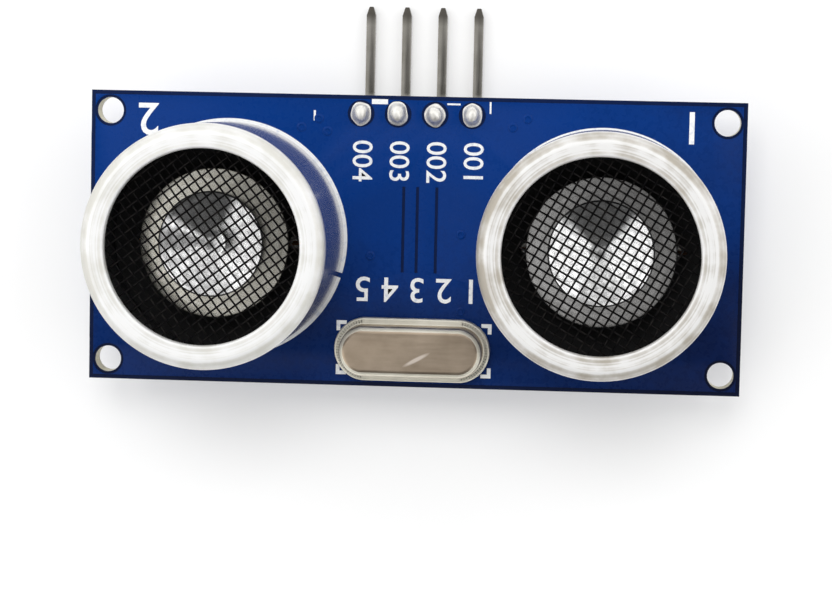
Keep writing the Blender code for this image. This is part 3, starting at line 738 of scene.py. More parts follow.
def make_disc(side):
    """Metal disc with a softened edge."""
    box = bench_box(side + "_diaphragm")
    rim = box.size.x / 2
    profile = [(0.0, box.high.z)]
    profile += arc(rim - DISC_ROUND, box.high.z - DISC_ROUND, DISC_ROUND, 90, 0, steps=4)
    profile += arc(rim - DISC_ROUND, box.low.z + DISC_ROUND, DISC_ROUND, 0, -90, steps=4)
    profile += [(0.0, box.low.z)]
    disc_piece = lathe(side + "_diaphragm_disc", profile, box.axis, INNER_STEPS)
    return settle(disc_piece, "diaphragm", disc_finish(side, box.axis), stands_for=[side + "_diaphragm"])


for side in SIDES:
    print(make_cone(side).name, make_disc(side).name)

# %% [markdown]
# ## The board
# The board is glass-fibre laminate under a glossy blue lacquer. Where copper lies under the lacquer it
# looks a clear blue, and where there is none it looks navy: along the rim, round the screw holes and
# in the gaps beside each copper track. So the CAD board gets the navy lacquer, and the copper lies on
# it as a thin plate.

# %% Lacquer and laminate
NAVY_DEEP = (0.0018, 0.0045, 0.022)
NAVY = (0.0026, 0.0110, 0.056)
BLUE_DEEP = (0.0030, 0.0115, 0.063)
BLUE = (0.0004, 0.0330, 0.200)
LAMINATE_DARK = (0.50, 0.47, 0.34)
LAMINATE = (0.74, 0.71, 0.57)
LACQUER_SKIN = 0.06
SKIN_FADE = 0.02
# Painted shade: the lacquer is darker towards the crystal's edge and the right edge, and gets lighter
# between these places along Y, and between these along X
PAINTED_SHADE_ALONG_Y = (-6.0, 1.2)
PAINTED_SHADE_ALONG_X = (22.5, 8.0)


def lacquer(name, deep, clear, gloss_low, gloss_high):
    """Glossy lacquer: cloudy colour, painted shade towards the crystal's edge and the right edge, uneven
    gloss, orange peel.
    """
    material = new_finish(name, clear, gloss_low, specular=0.12)
    where = millimetres(material)
    clouds = grain(material, where, 0.22, 6.0)
    fine = grain(material, where, 2.2, 3.0)
    mottle_and_shade = mix_shares(material, clouds, fine, 0.35)
    # Painted shade: darker towards the crystal's edge of the board and towards its right edge
    mottle_and_shade = mix_shares(material, mottle_and_shade, share_along(material, "Y", *PAINTED_SHADE_ALONG_Y), 0.4)
    mottle_and_shade = mix_shares(material, mottle_and_shade, share_along(material, "X", *PAINTED_SHADE_ALONG_X), 0.2)
    wander_colour(material, mottle_and_shade, deep, clear, 0.26, 0.72)
    wander_gloss(material, fine, gloss_low, gloss_high)
    add_relief(material, fine, 5 * MICRON, 0.5)
    return material


def board_finish():
    """Navy lacquer on both faces, bare laminate with its glass layers on every cut edge."""
    material = lacquer("navy_mask", NAVY_DEEP, NAVY, 0.26, 0.40)
    tree = material.node_tree
    lacquered = colour_so_far(material)
    height = add_node(tree, "SeparateXYZ", {0: millimetres(material, (0.0, 0.0, BACK / 2))}).outputs["Z"]
    from_middle = add_node(tree, "Math", {0: height}, operation="ABSOLUTE").outputs[0]
    skin = -BACK / 2 - LACQUER_SKIN
    cut_edge = fit_range(material, from_middle, 0.0, 1.0, skin, skin - SKIN_FADE)
    layers = grain(material, millimetres(material, stretch=(0.8, 0.8, 7.0)), 1.0, 4.0)
    laminate = lay_over(material, layers, LAMINATE_DARK, LAMINATE)
    lay_over(material, cut_edge, lacquered, laminate)
    return material


def dress_node(node, finish):
    """Give a CAD node that stays a better finish."""
    nodes[node].data.materials.clear()
    nodes[node].data.materials.append(finish)


COPPER_UNDER_MASK = lacquer("blue_mask", BLUE_DEEP, BLUE, 0.22, 0.36)
dress_node("circuit_board", board_finish())
print("board lacquered, with", len(nodes["circuit_board"].data.polygons), "faces")

# %% [markdown]
# ### Copper under the lacquer
# The copper plate is cut the way it is etched: one large sheet, and then gaps for the screw holes, the
# pads and the tracks. Each gap is a small block or disc, and one Boolean takes them all out. On the
# front a narrow bevel lets the lacquer flow over the edge. Tracks are round bars, flattened until only
# a low ridge is left.

# %% Blocks, discs and cuts


def block(name, place, size, turn=0.0):
    """A box on the bench, by its middle, its edge lengths and a turn round Z."""
    bare()
    bpy.ops.mesh.primitive_cube_add(size=1.0, location=place, rotation=(0.0, 0.0, turn), scale=size)
    piece = bpy.context.object
    piece.name = name
    bpy.ops.object.transform_apply(location=False, rotation=False, scale=True)
    return piece


def disc(name, place, radius, height, steps=48):
    """A flat disc on the bench, by its middle."""
    bare()
    bpy.ops.mesh.primitive_cylinder_add(vertices=steps, radius=radius, depth=height, location=place)
    piece = bpy.context.object
    piece.name = name
    return piece


def join(name, pieces):
    """Make one piece of several."""
    take(*pieces)
    if len(pieces) > 1:
        bpy.ops.object.join()
    pieces[0].name = name
    return pieces[0]


def modify(piece, kind, **settings):
    """Add a modifier and apply it at once."""
    take(piece)
    modifier = piece.modifiers.new(kind.lower(), kind)
    for name, value in settings.items():
        setattr(modifier, name, value)
    bpy.ops.object.modifier_apply(modifier=modifier.name)
    return piece


def cut(piece, *tools):
    """Take tools out of a piece and throw them away."""
    tool = join("tool", tools)
    modify(piece, "BOOLEAN", operation="DIFFERENCE", object=tool, solver="EXACT")
    bpy.data.objects.remove(tool)


def soften(piece, width, segments=2, angle=30.0):
    """Round off every edge that is sharper than an angle."""
    return modify(piece, "BEVEL", width=width, segments=segments, limit_method="ANGLE",
                  angle_limit=math.radians(angle))


print("CAD pieces replaced so far:", sum(node.hide_render for node in nodes.values()))

# %% Sheets and tracks
POUR_HEIGHT = 0.035
RIM_GAP = 0.28
SCREW_GAP = 1.08
GAP_DEPTH = 1.0
SCREW_PLACES = [(sx * 21.165, sy * 8.61) for sx in (-1, 1) for sy in (-1, 1)]


def tracks(name, lines, width, level, height):
    """Low ridges along lines of (x, y) points, lying on a level of the bench."""
    piece = round_bars(name, [[(x, y, 0.0) for x, y in line] for line in lines], width / 2, 2)
    piece.scale = (1.0, 1.0, 2 * height / width)
    piece.location = (0.0, 0.0, level)
    return fix_place(piece)


def copper_sheet(name, level):
    """The whole copper sheet of one side, before its gaps are cut."""
    size = (BOARD_LENGTH - 2 * RIM_GAP, BOARD_WIDTH - 2 * RIM_GAP, POUR_HEIGHT)
    return block(name, (0.0, 0.0, level), size)


def round_gaps(places, radius, level):
    """Discs that cut round gaps through a copper sheet."""
    return [disc("gap", (x, y, level), radius, GAP_DEPTH) for x, y in places]


print("screw holes at", SCREW_PLACES)

# %% Front copper
PIN_NUMBERS = (1, 2, 3, 4)
PIN_PLACES = [bench_box(f"header_pin_{number}").middle.x for number in PIN_NUMBERS]
PAD_ROW = 8.75
FRONT_SLOTS = (-0.77, 0.18, 1.50)
SLOT_ENDS = (-2.1, 3.8)
SLOT_WIDTH = 0.20
PAD_GAP = 0.92
COPPER_EDGE = 0.012
FRONT_VIAS = [(-7.9, 7.75), (-6.7, 8.35), (-6.1, 7.5), (6.6, 8.0), (7.6, 8.6)]
FRONT_VIAS += [(-3.0, -1.0), (3.2, 0.6), (3.3, -4.7)]
# Outline of a plated hole: its dimple, its rim and its foot, as (radius, height)
VIA_PROFILE = [(0.0, 0.02), (0.13, 0.02), (0.18, 0.06), (0.27, 0.06)]
VIA_PROFILE += [(0.33, 0.02), (0.34, -0.01), (0.0, -0.01)]
VIA_STEPS = 16


def make_front_copper():
    """Copper plate of the front, with its gaps."""
    plate = copper_sheet("front_copper", POUR_HEIGHT / 2)
    gaps = round_gaps(SCREW_PLACES, SCREW_GAP, 0.0)
    gaps += round_gaps([(x, PAD_ROW) for x in PIN_PLACES], PAD_GAP, 0.0)
    start, end = SLOT_ENDS
    for x in FRONT_SLOTS:
        gaps.append(block("gap", (x, (start + end) / 2, 0.0), (SLOT_WIDTH, end - start, GAP_DEPTH)))
    cut(plate, *gaps)
    soften(plate, COPPER_EDGE)
    return settle(plate, "board", COPPER_UNDER_MASK)


def make_via_ring(name, places, level, facing):
    """Small plated holes, lacquered over: a low ring with a dimple."""
    profile = [(across, height * facing) for across, height in VIA_PROFILE]
    rings = [lathe(name, profile, (x, y, level), VIA_STEPS) for x, y in places]
    return settle(join(name, rings), "board", COPPER_UNDER_MASK)


print(make_front_copper().name, make_via_ring("front_vias", FRONT_VIAS, POUR_HEIGHT, 1).name)

# %% [markdown]
# ## The white print
# Screen printing lays a thin coat of white ink on the lacquer: a ring round each can, corner marks
# round the crystal and short marks at the pins. All figures here are plain counting numbers. Ink is a
# real coat with a thickness, so bars, rings and figures are thin solid pieces, joined in one.

# %% Ink helpers
INK_COAT = 0.05
FRONT_INK = INK_COAT / 2
# Height of a figure as a share of its font size, and how much its strokes are thickened
FIGURE_SHARE = 0.70
FIGURE_WEIGHT = 0.009
SLIVER = 0.001


def ink_finish():
    """Matt white ink, thin in places so that a little blue shows through."""
    material = new_finish("white_ink", (0.86, 0.87, 0.88), 0.6)
    fine = grain(material, millimetres(material), 3.0, 5.0)
    wander_colour(material, fine, (0.66, 0.70, 0.78), (0.90, 0.91, 0.91), 0.28, 0.48)
    add_relief(material, fine, 4 * MICRON, 0.4)
    return material


def ink_bar(x, y, length, width, turn=0.0, level=FRONT_INK):
    """One straight stroke of ink."""
    return block("ink", (x, y, level), (length, width, INK_COAT), turn)


def figure(text, height, thickness, place, turn=0.0):
    """A plain number as a thin solid."""
    bare()
    bpy.ops.object.text_add()
    letters = bpy.context.object
    letters.data.body = text
    letters.data.align_x = "CENTER"
    letters.data.align_y = "CENTER"
    letters.data.size = height / FIGURE_SHARE
    letters.data.offset = height * FIGURE_WEIGHT
    letters.data.resolution_u = 4
    letters.data.extrude = thickness / 2
    bpy.ops.object.convert(target="MESH")
    number = bpy.context.object
    edit(number)
    bpy.ops.mesh.dissolve_degenerate(threshold=SLIVER)
    finish_edit()
    number.location = place
    number.rotation_euler = (0.0, 0.0, turn)
    return number


def ink_frame(middle, length, width, line, level=FRONT_INK):
    """A printed rectangle: a face, inset by the line, its middle deleted and the rest made thick."""
    bare()
    bpy.ops.mesh.primitive_plane_add(size=1.0, location=(middle.x, middle.y, level - INK_COAT / 2))
    rectangle = bpy.context.object
    rectangle.name = "ink"
    rectangle.scale = (length + line, width + line, 1.0)
    edit(fix_place(rectangle))
    bpy.ops.mesh.inset(thickness=line)
    bpy.ops.mesh.delete(type="FACE")
    bpy.ops.mesh.select_all(action="SELECT")
    pull(0.0, 0.0, INK_COAT)
    finish_edit()
    return rectangle


WHITE_INK = ink_finish()
print("ink is", INK_COAT, "mm thick")

# %% Front print
RING_INSIDE = 7.95
RING_OUTSIDE = {"left": 8.24, "right": 8.12}
# The left ring has one gap: its direction, its distance from the can's axis and its size
RING_GAP_TURN = math.radians(-17.0)
RING_GAP_REACH = 8.0
RING_GAP = (1.5, 0.34, GAP_DEPTH)
# The frame round the crystal, of which only the corners are printed
CORNER_SHIFT = Vector((0.07, 0.0, 0.0))
CORNER_FRAME = (10.44, 3.48)
CORNER_LINE = 0.26
CORNER_ARM = 0.57
QUARTER = math.pi / 2
# The numbers at the pins stand in a row, a little beside each pin
PIN_FIGURE_SHIFT = 0.08
PIN_FIGURE_ROW = 5.5
PIN_FIGURE_HEIGHT = 1.35
# Plain numbers: text, x, y, height and turn
FRONT_FIGURES = [
    ("2", -18.50, 8.2, 2.2, math.pi),
    ("1", 18.75, 8.35, 2.2, math.pi),
    ("1 2 3 4 5", 0.25, -3.2, 1.68, math.pi),
]
for index, x in enumerate(PIN_PLACES):
    text = f"00{len(PIN_PLACES) - index}"
    FRONT_FIGURES.append((text, x + PIN_FIGURE_SHIFT, PIN_FIGURE_ROW, PIN_FIGURE_HEIGHT, -QUARTER))
# Short strokes: x, y, length and width
FRONT_STROKES = [
    (-2.53, 9.58, 1.1, 0.34),
    (2.54, 9.50, 0.9, 0.12),
    (5.05, 9.30, 0.12, 0.8),
    (-7.0, 8.55, 0.14, 0.7),
]


def ink_ring(side):
    """A printed ring round the foot of a can."""
    axis = bench_box(side + "_can").axis
    inside = RING_INSIDE
    outside = RING_OUTSIDE[side]
    profile = [(inside, 0.0), (outside, 0.0), (outside, INK_COAT), (inside, INK_COAT), (inside, 0.0)]
    ring = lathe("ink", profile, axis, CAN_STEPS)
    if side == "left":
        toward = Vector((math.cos(RING_GAP_TURN), math.sin(RING_GAP_TURN), 0.0))
        cut(ring, block("gap", axis + toward * RING_GAP_REACH, RING_GAP, RING_GAP_TURN))
    return ring


def ink_corners():
    """Corner marks: a frame whose sides are cut away."""
    middle = bench_box("crystal_base").axis + CORNER_SHIFT
    length, width = CORNER_FRAME
    corners = ink_frame(middle, length, width, CORNER_LINE)
    cut(corners, block("gap", middle, (length - 2 * CORNER_ARM, BOARD_WIDTH / 2, GAP_DEPTH)))
    cut(corners, block("gap", middle, (BOARD_LENGTH / 2, width - 2 * CORNER_ARM, GAP_DEPTH)))
    return corners


def make_front_print():
    """All the ink on the front."""
    ink = [ink_ring(side) for side in SIDES]
    ink.append(ink_corners())
    for text, x, y, height, turn in FRONT_FIGURES:
        ink.append(figure(text, height, INK_COAT, (x, y, FRONT_INK), turn))
    for stroke in FRONT_STROKES:
        ink.append(ink_bar(*stroke))
    return settle(join("front_print", ink), "board", WHITE_INK)


front_print = make_front_print()
print(front_print.name, "has", len(front_print.data.polygons), "faces")

# %% [markdown]
# ## The crystal
# The crystal sits in a pressed, nickel-plated can that is welded to its base all round. Its outline has
# straight sides and half-round ends: a circle whose two halves are pulled apart. From there it is
# extrude, inset, extrude, and bevels for the soft pressed edges. A light streak crosses the top, and
# the whitish weld finish is laid on the rounded top edge as a painted highlight.

# %% Pick, round and stretch
LEVEL_SLACK = 0.01
OVAL_STEPS = 64


def pick(kind, test):
    """In edit mode, select the vertices, edges or faces that pass a test, and nothing else."""
    bpy.ops.mesh.select_mode(type=kind)
    bpy.ops.mesh.select_all(action="DESELECT")
    body = bmesh.from_edit_mesh(bpy.context.object.data)
    for part in {"VERT": body.verts, "EDGE": body.edges, "FACE": body.faces}[kind]:
        if test(part):
            part.select_set(True)
    bmesh.update_edit_mesh(bpy.context.object.data)


def round_level_edges(height, radius, segments):
    """In edit mode, round off the edges that lie level at a height."""
    pick("EDGE", lambda edge: all(abs(vert.co.z - height) < LEVEL_SLACK for vert in edge.verts))
    bpy.ops.mesh.bevel(offset=radius, segments=segments, affect="EDGES")


def stadium(name, box):
    """A face with straight sides and half-round ends, on the bottom of a box. Edit mode stays open."""
    bare()
    bpy.ops.mesh.primitive_circle_add(vertices=OVAL_STEPS, radius=box.size.y / 2, fill_type="NGON")
    piece = bpy.context.object
    piece.name = name
    edit(piece)
    for side in (-1, 1):
        pick("VERT", lambda vert: vert.co.x * side > 0.001)
        bpy.ops.transform.translate(value=(side * (box.size.x - box.size.y) / 2, 0.0, 0.0))
    bpy.ops.mesh.select_all(action="SELECT")
    bpy.ops.transform.translate(value=(0.0, 0.0, box.low.z))
    piece.location = box.axis
    return piece


print("crystal:", [round(part, 2) for part in bench_box("crystal_can").size], "mm")

# %% Plating


def plated(name, dark, light, rough_low, rough_high, stretch):
    """Satin plating with cloudy tones and fine drawn lines, stretched along one axis."""
    material = new_finish(name, light, rough_low, 1.0)
    clouds = grain(material, millimetres(material), 0.5, 5.0)
    lines = grain(material, millimetres(material, stretch=stretch), 1.0, 3.0)
    wander_colour(material, mix_shares(material, clouds, lines, 0.3), dark, light, 0.32, 0.66)
    wander_gloss(material, lines, rough_low, rough_high)
    add_relief(material, lines, 1.5 * MICRON, 0.4)
    return material


def light_streak(material, middle, length, width, turn, tone):
    """One light streak: a long thin spot laid over the colour."""
    tree = material.node_tree
    place = millimetres(material, middle)
    turned = add_node(tree, "Mapping", {"Vector": place, "Rotation": (0.0, 0.0, -turn)}).outputs[0]
    thin = add_node(tree, "Mapping", {"Vector": turned, "Scale": (2 / length, 2 / width, 0.2)}).outputs[0]
    spot = add_node(tree, "TexGradient", {"Vector": thin}, gradient_type="SPHERICAL").outputs["Fac"]
    sharp = fit_range(material, spot, 0.0, 1.0, 0.0, 0.5)
    lay_over(material, sharp, colour_so_far(material), tone)


EVEN = (1.5, 1.5, 1.5)
NICKEL = plated("nickel_can", (0.41, 0.325, 0.24), (0.56, 0.455, 0.35), 0.28, 0.38, (0.6, 4.0, 0.6))
WELD_AND_HIGHLIGHT = plated("welded_flange_and_highlight", (0.80, 0.77, 0.65), (0.97, 0.94, 0.83), 0.50, 0.62, EVEN)
PLATED_BASE = plated("plated_base", (0.62, 0.60, 0.52), (0.82, 0.80, 0.72), 0.34, 0.46, EVEN)
print("platings:", NICKEL.name, WELD_AND_HIGHLIGHT.name, PLATED_BASE.name)

# %% Crystal can and base
FLANGE_HEIGHT = 0.35
FLANGE_REACH = 0.47
FLANGE_ROUND = 0.13
CRYSTAL_EDGE = 0.5
BASE_ROUND = 0.09
# Faces with slopes between these, where 0 is upright and 1 is level, get the whitish weld finish as a
# painted highlight on the rounded top edge
HIGHLIGHT_SLOPES = (0.45, 0.9)
STREAK_SHIFT = Vector((0.47, -0.45, 0.0))
STREAK_TURN = math.radians(28.5)
STREAK_TONE = (0.97, 0.85, 0.74)


def make_crystal_can():
    """Pressed can with a welded flange, and a painted highlight on its rounded top edge."""
    box = bench_box("crystal_can")
    flange_top = box.low.z + FLANGE_HEIGHT
    can = stadium("crystal_can_pressed", box)
    pull(0.0, 0.0, FLANGE_HEIGHT)
    bpy.ops.mesh.inset(thickness=FLANGE_REACH)
    pull(0.0, 0.0, box.high.z - flange_top)
    round_level_edges(box.high.z, CRYSTAL_EDGE, segments=7)
    round_level_edges(flange_top, FLANGE_ROUND, segments=3)
    finish_edit()
    on_top = Vector((box.middle.x, box.middle.y, box.high.z)) + STREAK_SHIFT
    # A light streak is painted across the top of the crystal can
    light_streak(NICKEL, on_top, length=2.2, width=0.34, turn=STREAK_TURN, tone=STREAK_TONE)
    settle(can, "crystal", NICKEL, WELD_AND_HIGHLIGHT, stands_for=["crystal_can"])
    weld_top = HOME.z + (flange_top + LEVEL_SLACK) * MM
    steepest, flattest = HIGHLIGHT_SLOPES
    # The flange is the weld; the sloped faces of the top edge get its whitish finish as a painted highlight
    paint_faces(can, 1, lambda place, normal: place.z < weld_top or steepest < normal.z < flattest)
    return can


def make_crystal_base():
    """Base plate under the flange."""
    box = bench_box("crystal_base")
    base = stadium("crystal_base_plate", box)
    pull(0.0, 0.0, box.size.z)
    soften(base, BASE_ROUND, segments=3)
    return settle(base, "crystal_base", PLATED_BASE, stands_for=["crystal_base"])


print(make_crystal_can().name, make_crystal_base().name)

# %% [markdown]
# ## The header
# Four square pins go through the board and a black strip behind it, bend once and lead out past the
# edge. A pin is one square face: extruded down, spun through a right angle, extruded out, and its end
# drawn in to a blunt tip. A bevel along all edges gives the soft corners of drawn wire, which is where
# the light catches. Towards its end each pin is painted darker, as painted shade.

# %% Pins
PIN_SIDE = 0.64
PIN_BEND = 1.5
PIN_TAPER = 0.6
TIP_SHARE = 0.45
PIN_EDGE = 0.04
# Painted shade: the tin turns darker between these distances from the pin's end
TIP_SHADE_SPAN = (1.3, 0.5)
TIP_SHADE_TONE = (0.085, 0.078, 0.068)


def pin_finish():
    """Drawn tin along the pin, painted darker towards its end as painted shade."""
    material = plated("tinned_pin", (0.20, 0.19, 0.165), (0.32, 0.305, 0.28), 0.16, 0.26, (9.0, 0.5, 9.0))
    tin = colour_so_far(material)
    pin_end = bench_box("header_pin_1").high.y
    shaded_tip = share_along(material, "Y", *(pin_end - distance for distance in TIP_SHADE_SPAN))
    # Painted shade over the last millimetre or so of each pin
    lay_over(material, shaded_tip, tin, TIP_SHADE_TONE)
    return material


def make_pin(number):
    """One bent square pin."""
    name = f"header_pin_{number}"
    box = bench_box(name)
    x = box.middle.x
    axis_depth = box.low.z + PIN_SIDE / 2
    hub = Vector((x, PAD_ROW + PIN_BEND, axis_depth + PIN_BEND))
    bare()
    bpy.ops.mesh.primitive_plane_add(size=PIN_SIDE, location=(x, PAD_ROW, box.high.z))
    pin = bpy.context.object
    pin.name = name + "_drawn"
    edit(fix_place(pin))
    pull(0.0, 0.0, hub.z - box.high.z)
    bpy.ops.mesh.spin(steps=10, angle=-QUARTER, center=hub, axis=(1.0, 0.0, 0.0))
    pull(0.0, box.high.y - PIN_TAPER - hub.y, 0.0)
    pull(0.0, PIN_TAPER, 0.0)
    bpy.ops.transform.resize(value=(TIP_SHARE, 1.0, TIP_SHARE), center_override=(x, box.high.y, axis_depth))
    finish_edit()
    soften(pin, PIN_EDGE, angle=40.0)
    return settle(pin, "pin", TINNED_PIN, stands_for=[name])


TINNED_PIN = pin_finish()
for number in PIN_NUMBERS:
    print(make_pin(number).name)

# %% Strip
STRIP_CHAMFER = 0.5
STRIP_EDGE = 0.07
UPRIGHT_EDGE = 0.5
STRIP_BLACK = dull_black("header_plastic", 0.018, 0.5, 7.0)


def array(piece, count, pitch, **more):
    """Repeat a piece along X."""
    return modify(piece, "ARRAY", count=count, use_relative_offset=False, use_constant_offset=True,
                  constant_offset_displace=(pitch, 0.0, 0.0), **more)


def tall_edge(edge):
    """Is this edge upright? Level edges have no height at all."""
    return abs(edge.verts[0].co.z - edge.verts[1].co.z) > UPRIGHT_EDGE


def make_strip():
    """Black strip that holds the pins, notched between them."""
    box = bench_box("header_block")
    count = len(PIN_PLACES)
    pitch = PIN_PLACES[1] - PIN_PLACES[0]
    place = (PIN_PLACES[0], box.middle.y, box.middle.z)
    strip_block = block("header_block_moulded", place, (pitch, box.size.y, box.size.z))
    edit(strip_block)
    pick("EDGE", tall_edge)
    bpy.ops.mesh.bevel(offset=STRIP_CHAMFER, segments=1, affect="EDGES")
    array(strip_block, count, pitch, use_merge_vertices=True, merge_threshold=0.01)
    ends = (-pitch / 2, pitch * count - pitch / 2)

    def wall_between(face):
        x = face.calc_center_median().x
        return abs(face.normal.x) > 0.9 and min(abs(x - end) for end in ends) > 0.1

    edit(strip_block)
    pick("FACE", wall_between)
    bpy.ops.mesh.delete(type="FACE")
    finish_edit()
    soften(strip_block, STRIP_EDGE, angle=25.0)
    return settle(strip_block, "block", STRIP_BLACK, stands_for=["header_block"])


print(make_strip().name, "holds", len(PIN_PLACES), "pins")

# %% [markdown]
# ## Solder
# No two solder joints are alike. Each starts as a turned drop, and then every vertex is pushed in or
# out a little by smooth noise that depends only on its place, so the shapes differ and still come out
# the same on every run.

# %% Joints on the front
SOLDER_STEPS = 40
# The drop on the front: its cap is measured down from the top, its foot up from the board
DROP_CAP = [(0.0, 0.0), (0.18, 0.03), (0.34, 0.12), (0.46, 0.28), (0.53, 0.50)]
DROP_FOOT = [(0.57, 0.34), (0.62, 0.20), (0.69, 0.11), (0.76, 0.08), (0.78, 0.04), (0.78, 0.0), (0.0, 0.0)]
DROP_SHAPE = (0.90, 1.08, 1.0)


def solder_finish():
    """Bright tin with a dull skin in places."""
    material = new_finish("solder", (0.92, 0.91, 0.87), 0.45, 0.6)
    clouds = grain(material, millimetres(material), 1.6, 4.0)
    wander_colour(material, clouds, (0.82, 0.80, 0.75), (0.96, 0.95, 0.91))
    wander_gloss(material, clouds, 0.34, 0.54)
    add_relief(material, clouds, 14 * MICRON, 0.5)
    return material


def make_lumpy(piece, height, amount, size):
    """Push each vertex away from a point on the axis, or towards it, by smooth noise."""
    bpy.context.view_layer.update()
    middle = Vector((0.0, 0.0, height))
    for vert in piece.data.vertices:
        push = noise.noise((piece.matrix_world @ vert.co) / size) * amount
        vert.co += (vert.co - middle).normalized() * push


def make_front_joint(number):
    """Drop of solder over the end of a pin, on its oval pad."""
    name = f"header_solder_{number}"
    box = bench_box(name)
    profile = [(across, box.high.z - depth) for across, depth in DROP_CAP] + DROP_FOOT
    joint = lathe(name + "_drop", profile, box.axis, SOLDER_STEPS)
    make_lumpy(joint, height=0.2, amount=0.13, size=0.75)
    joint.scale = DROP_SHAPE
    return settle(joint, "solder", SOLDER, stands_for=[name])


SOLDER = solder_finish()
for number in PIN_NUMBERS:
    print(make_front_joint(number).name)

# %% Joints on the back
PAIR = (1, 2)
TERMINAL_JOINTS = [f"{side}_terminal_solder_{number}" for side in SIDES for number in PAIR]
CRYSTAL_JOINTS = [f"crystal_solder_{number}" for number in PAIR]
TERMINAL_RADIUS = 0.5
CRYSTAL_LEAD_RADIUS = 0.215
# The foot of a cone spreads over the pad, its side is hollow, and its top closes round the lead
FOOT_SPREAD = 0.1
FOOT_EDGE = 0.06
FOOT_HEIGHT = 0.10
CONE_CURVE = 2.2
SIDE_STEPS = 8
TOP_OUTSIDE = 0.015
TOP_INSIDE = -0.02


def make_back_joint(name, lead):
    """Hollow-sided cone of solder round a lead on the back."""
    box = bench_box(name)
    radius = box.size.x / 2
    tall = box.size.z
    rim = radius + FOOT_SPREAD
    profile = [(0.0, BACK), (rim, BACK), (rim, BACK - FOOT_EDGE), (radius, BACK - FOOT_HEIGHT)]
    for step in range(1, SIDE_STEPS):
        share = step / SIDE_STEPS
        across = lead + (radius - lead) * (1 - share) ** CONE_CURVE
        profile.append((across, BACK - FOOT_HEIGHT - (tall - FOOT_HEIGHT) * share))
    profile += [(across, BACK - tall) for across in (lead + TOP_OUTSIDE, lead + TOP_INSIDE, 0.0)]
    joint = lathe(name + "_cone", profile, box.axis, SOLDER_STEPS)
    make_lumpy(joint, height=BACK, amount=0.08, size=0.9)
    return settle(joint, "solder", SOLDER, stands_for=[name])


for name in TERMINAL_JOINTS:
    print(make_back_joint(name, TERMINAL_RADIUS).name)
for name in CRYSTAL_JOINTS:
    print(make_back_joint(name, CRYSTAL_LEAD_RADIUS).name)

# %% [markdown]
# ## Pieces that stay as they are
# Some CAD pieces are hidden in the cans, or are plain rods whose shape is already right. They keep
# their CAD shape and only get a better finish.

# %% Dress the CAD pieces that stay


def plain_mottle(name, tone, roughness, metallic, scale):
    """A quiet finish for pieces that hardly show."""
    material = new_finish(name, tone, roughness, metallic)
    fine = grain(material, millimetres(material), scale)
    wander_colour(material, fine, [part * 0.85 for part in tone], [min(1.0, part * 1.1) for part in tone])
    wander_gloss(material, fine, roughness - 0.06, roughness + 0.06)
    return material


BASE_BLACK = dull_black("black_moulding", 0.016, 0.6, 8.0)
TINNED_LEAD = plain_mottle("tinned_lead", (0.72, 0.72, 0.70), 0.3, 1.0, 2.0)
CERAMIC = plain_mottle("piezo_ceramic", (0.60, 0.57, 0.48), 0.6, 0.0, 3.0)
SILICONE = plain_mottle("white_silicone", (0.78, 0.78, 0.75), 0.6, 0.0, 3.0)
COPPER_WIRE = plain_mottle("copper_wire", (0.72, 0.38, 0.22), 0.35, 1.0, 3.0)
QUARTZ = plain_mottle("quartz_strip", (0.80, 0.82, 0.84), 0.15, 0.0, 2.0)

for side in SIDES:
    dress_node(side + "_base", BASE_BLACK)
    dress_node(side + "_ceramic_disc", CERAMIC)
    dress_node(side + "_support_ring", SILICONE)
    for number in PAIR:
        dress_node(f"{side}_terminal_{number}", TINNED_LEAD)
        dress_node(f"{side}_wire_{number}", COPPER_WIRE)
for number in PAIR:
    dress_node(f"crystal_lead_{number}", TINNED_LEAD)
dress_node("crystal_blank", QUARTZ)
print("CAD pieces still in view:", sum(not node.hide_render for node in nodes.values()))

# %% [markdown]
# ## The back of the board
# The back carries the working circuit: three flat packages, a small transistor and a handful of chip
# parts. Each piece is built face up at the origin and then turned over onto the back, so that up is
# always away from the board. A lead is a strip of sheet metal: a line along its bent path, pulled out
# sideways and then made solid. An array repeats it along one side of a package, and a mirror gives the
# other side.

# %% Package helpers
LEAD_THICKNESS = 0.2
LEAD_WIDTH = 0.42
LEAD_BEND = 0.07
LEAD_ROOT = 0.25
LEAD_EDGE = 0.03
STANDOFF = 0.1
BODY_DRAFT = 0.12
BODY_EDGE = 0.06
BACK_SEAT = BACK - 0.05
PAD_HEIGHT = 0.1
PAD_EDGE = 0.045
PAD_WIDTH = 0.60
# A pad is longer than the foot on it, and more so at the toe
PAD_EXTRA = 0.7
PAD_SHIFT = 0.15
EPOXY = dull_black("package_epoxy", 0.017, 0.55, 9.0)
back_pads = []


def coated(piece, finish):
    """Give a piece its finish before it is joined to others."""
    piece.data.materials.append(finish)
    return piece


def turn_over(piece, middle, turn):
    """Lay a piece that was built face up onto the back of the board."""
    piece.location = (middle.x, middle.y, BACK_SEAT)
    piece.rotation_euler = (math.pi, 0.0, turn)
    return piece


def repeat_row(piece, count, pitch):
    """Repeat a piece along X, spread evenly about the middle."""
    piece.location.x -= pitch * (count - 1) / 2
    return array(fix_place(piece), count, pitch)


def strip(name, path, width):
    """Sheet metal along a path of (y, z) points."""
    piece = polyline(name, [(-width / 2, y, z) for y, z in path])
    pull(width, 0.0, 0.0)
    modify(piece, "SOLIDIFY", thickness=LEAD_THICKNESS, offset=0.0, use_even_offset=True)
    return soften(piece, LEAD_EDGE, segments=1, angle=50.0)


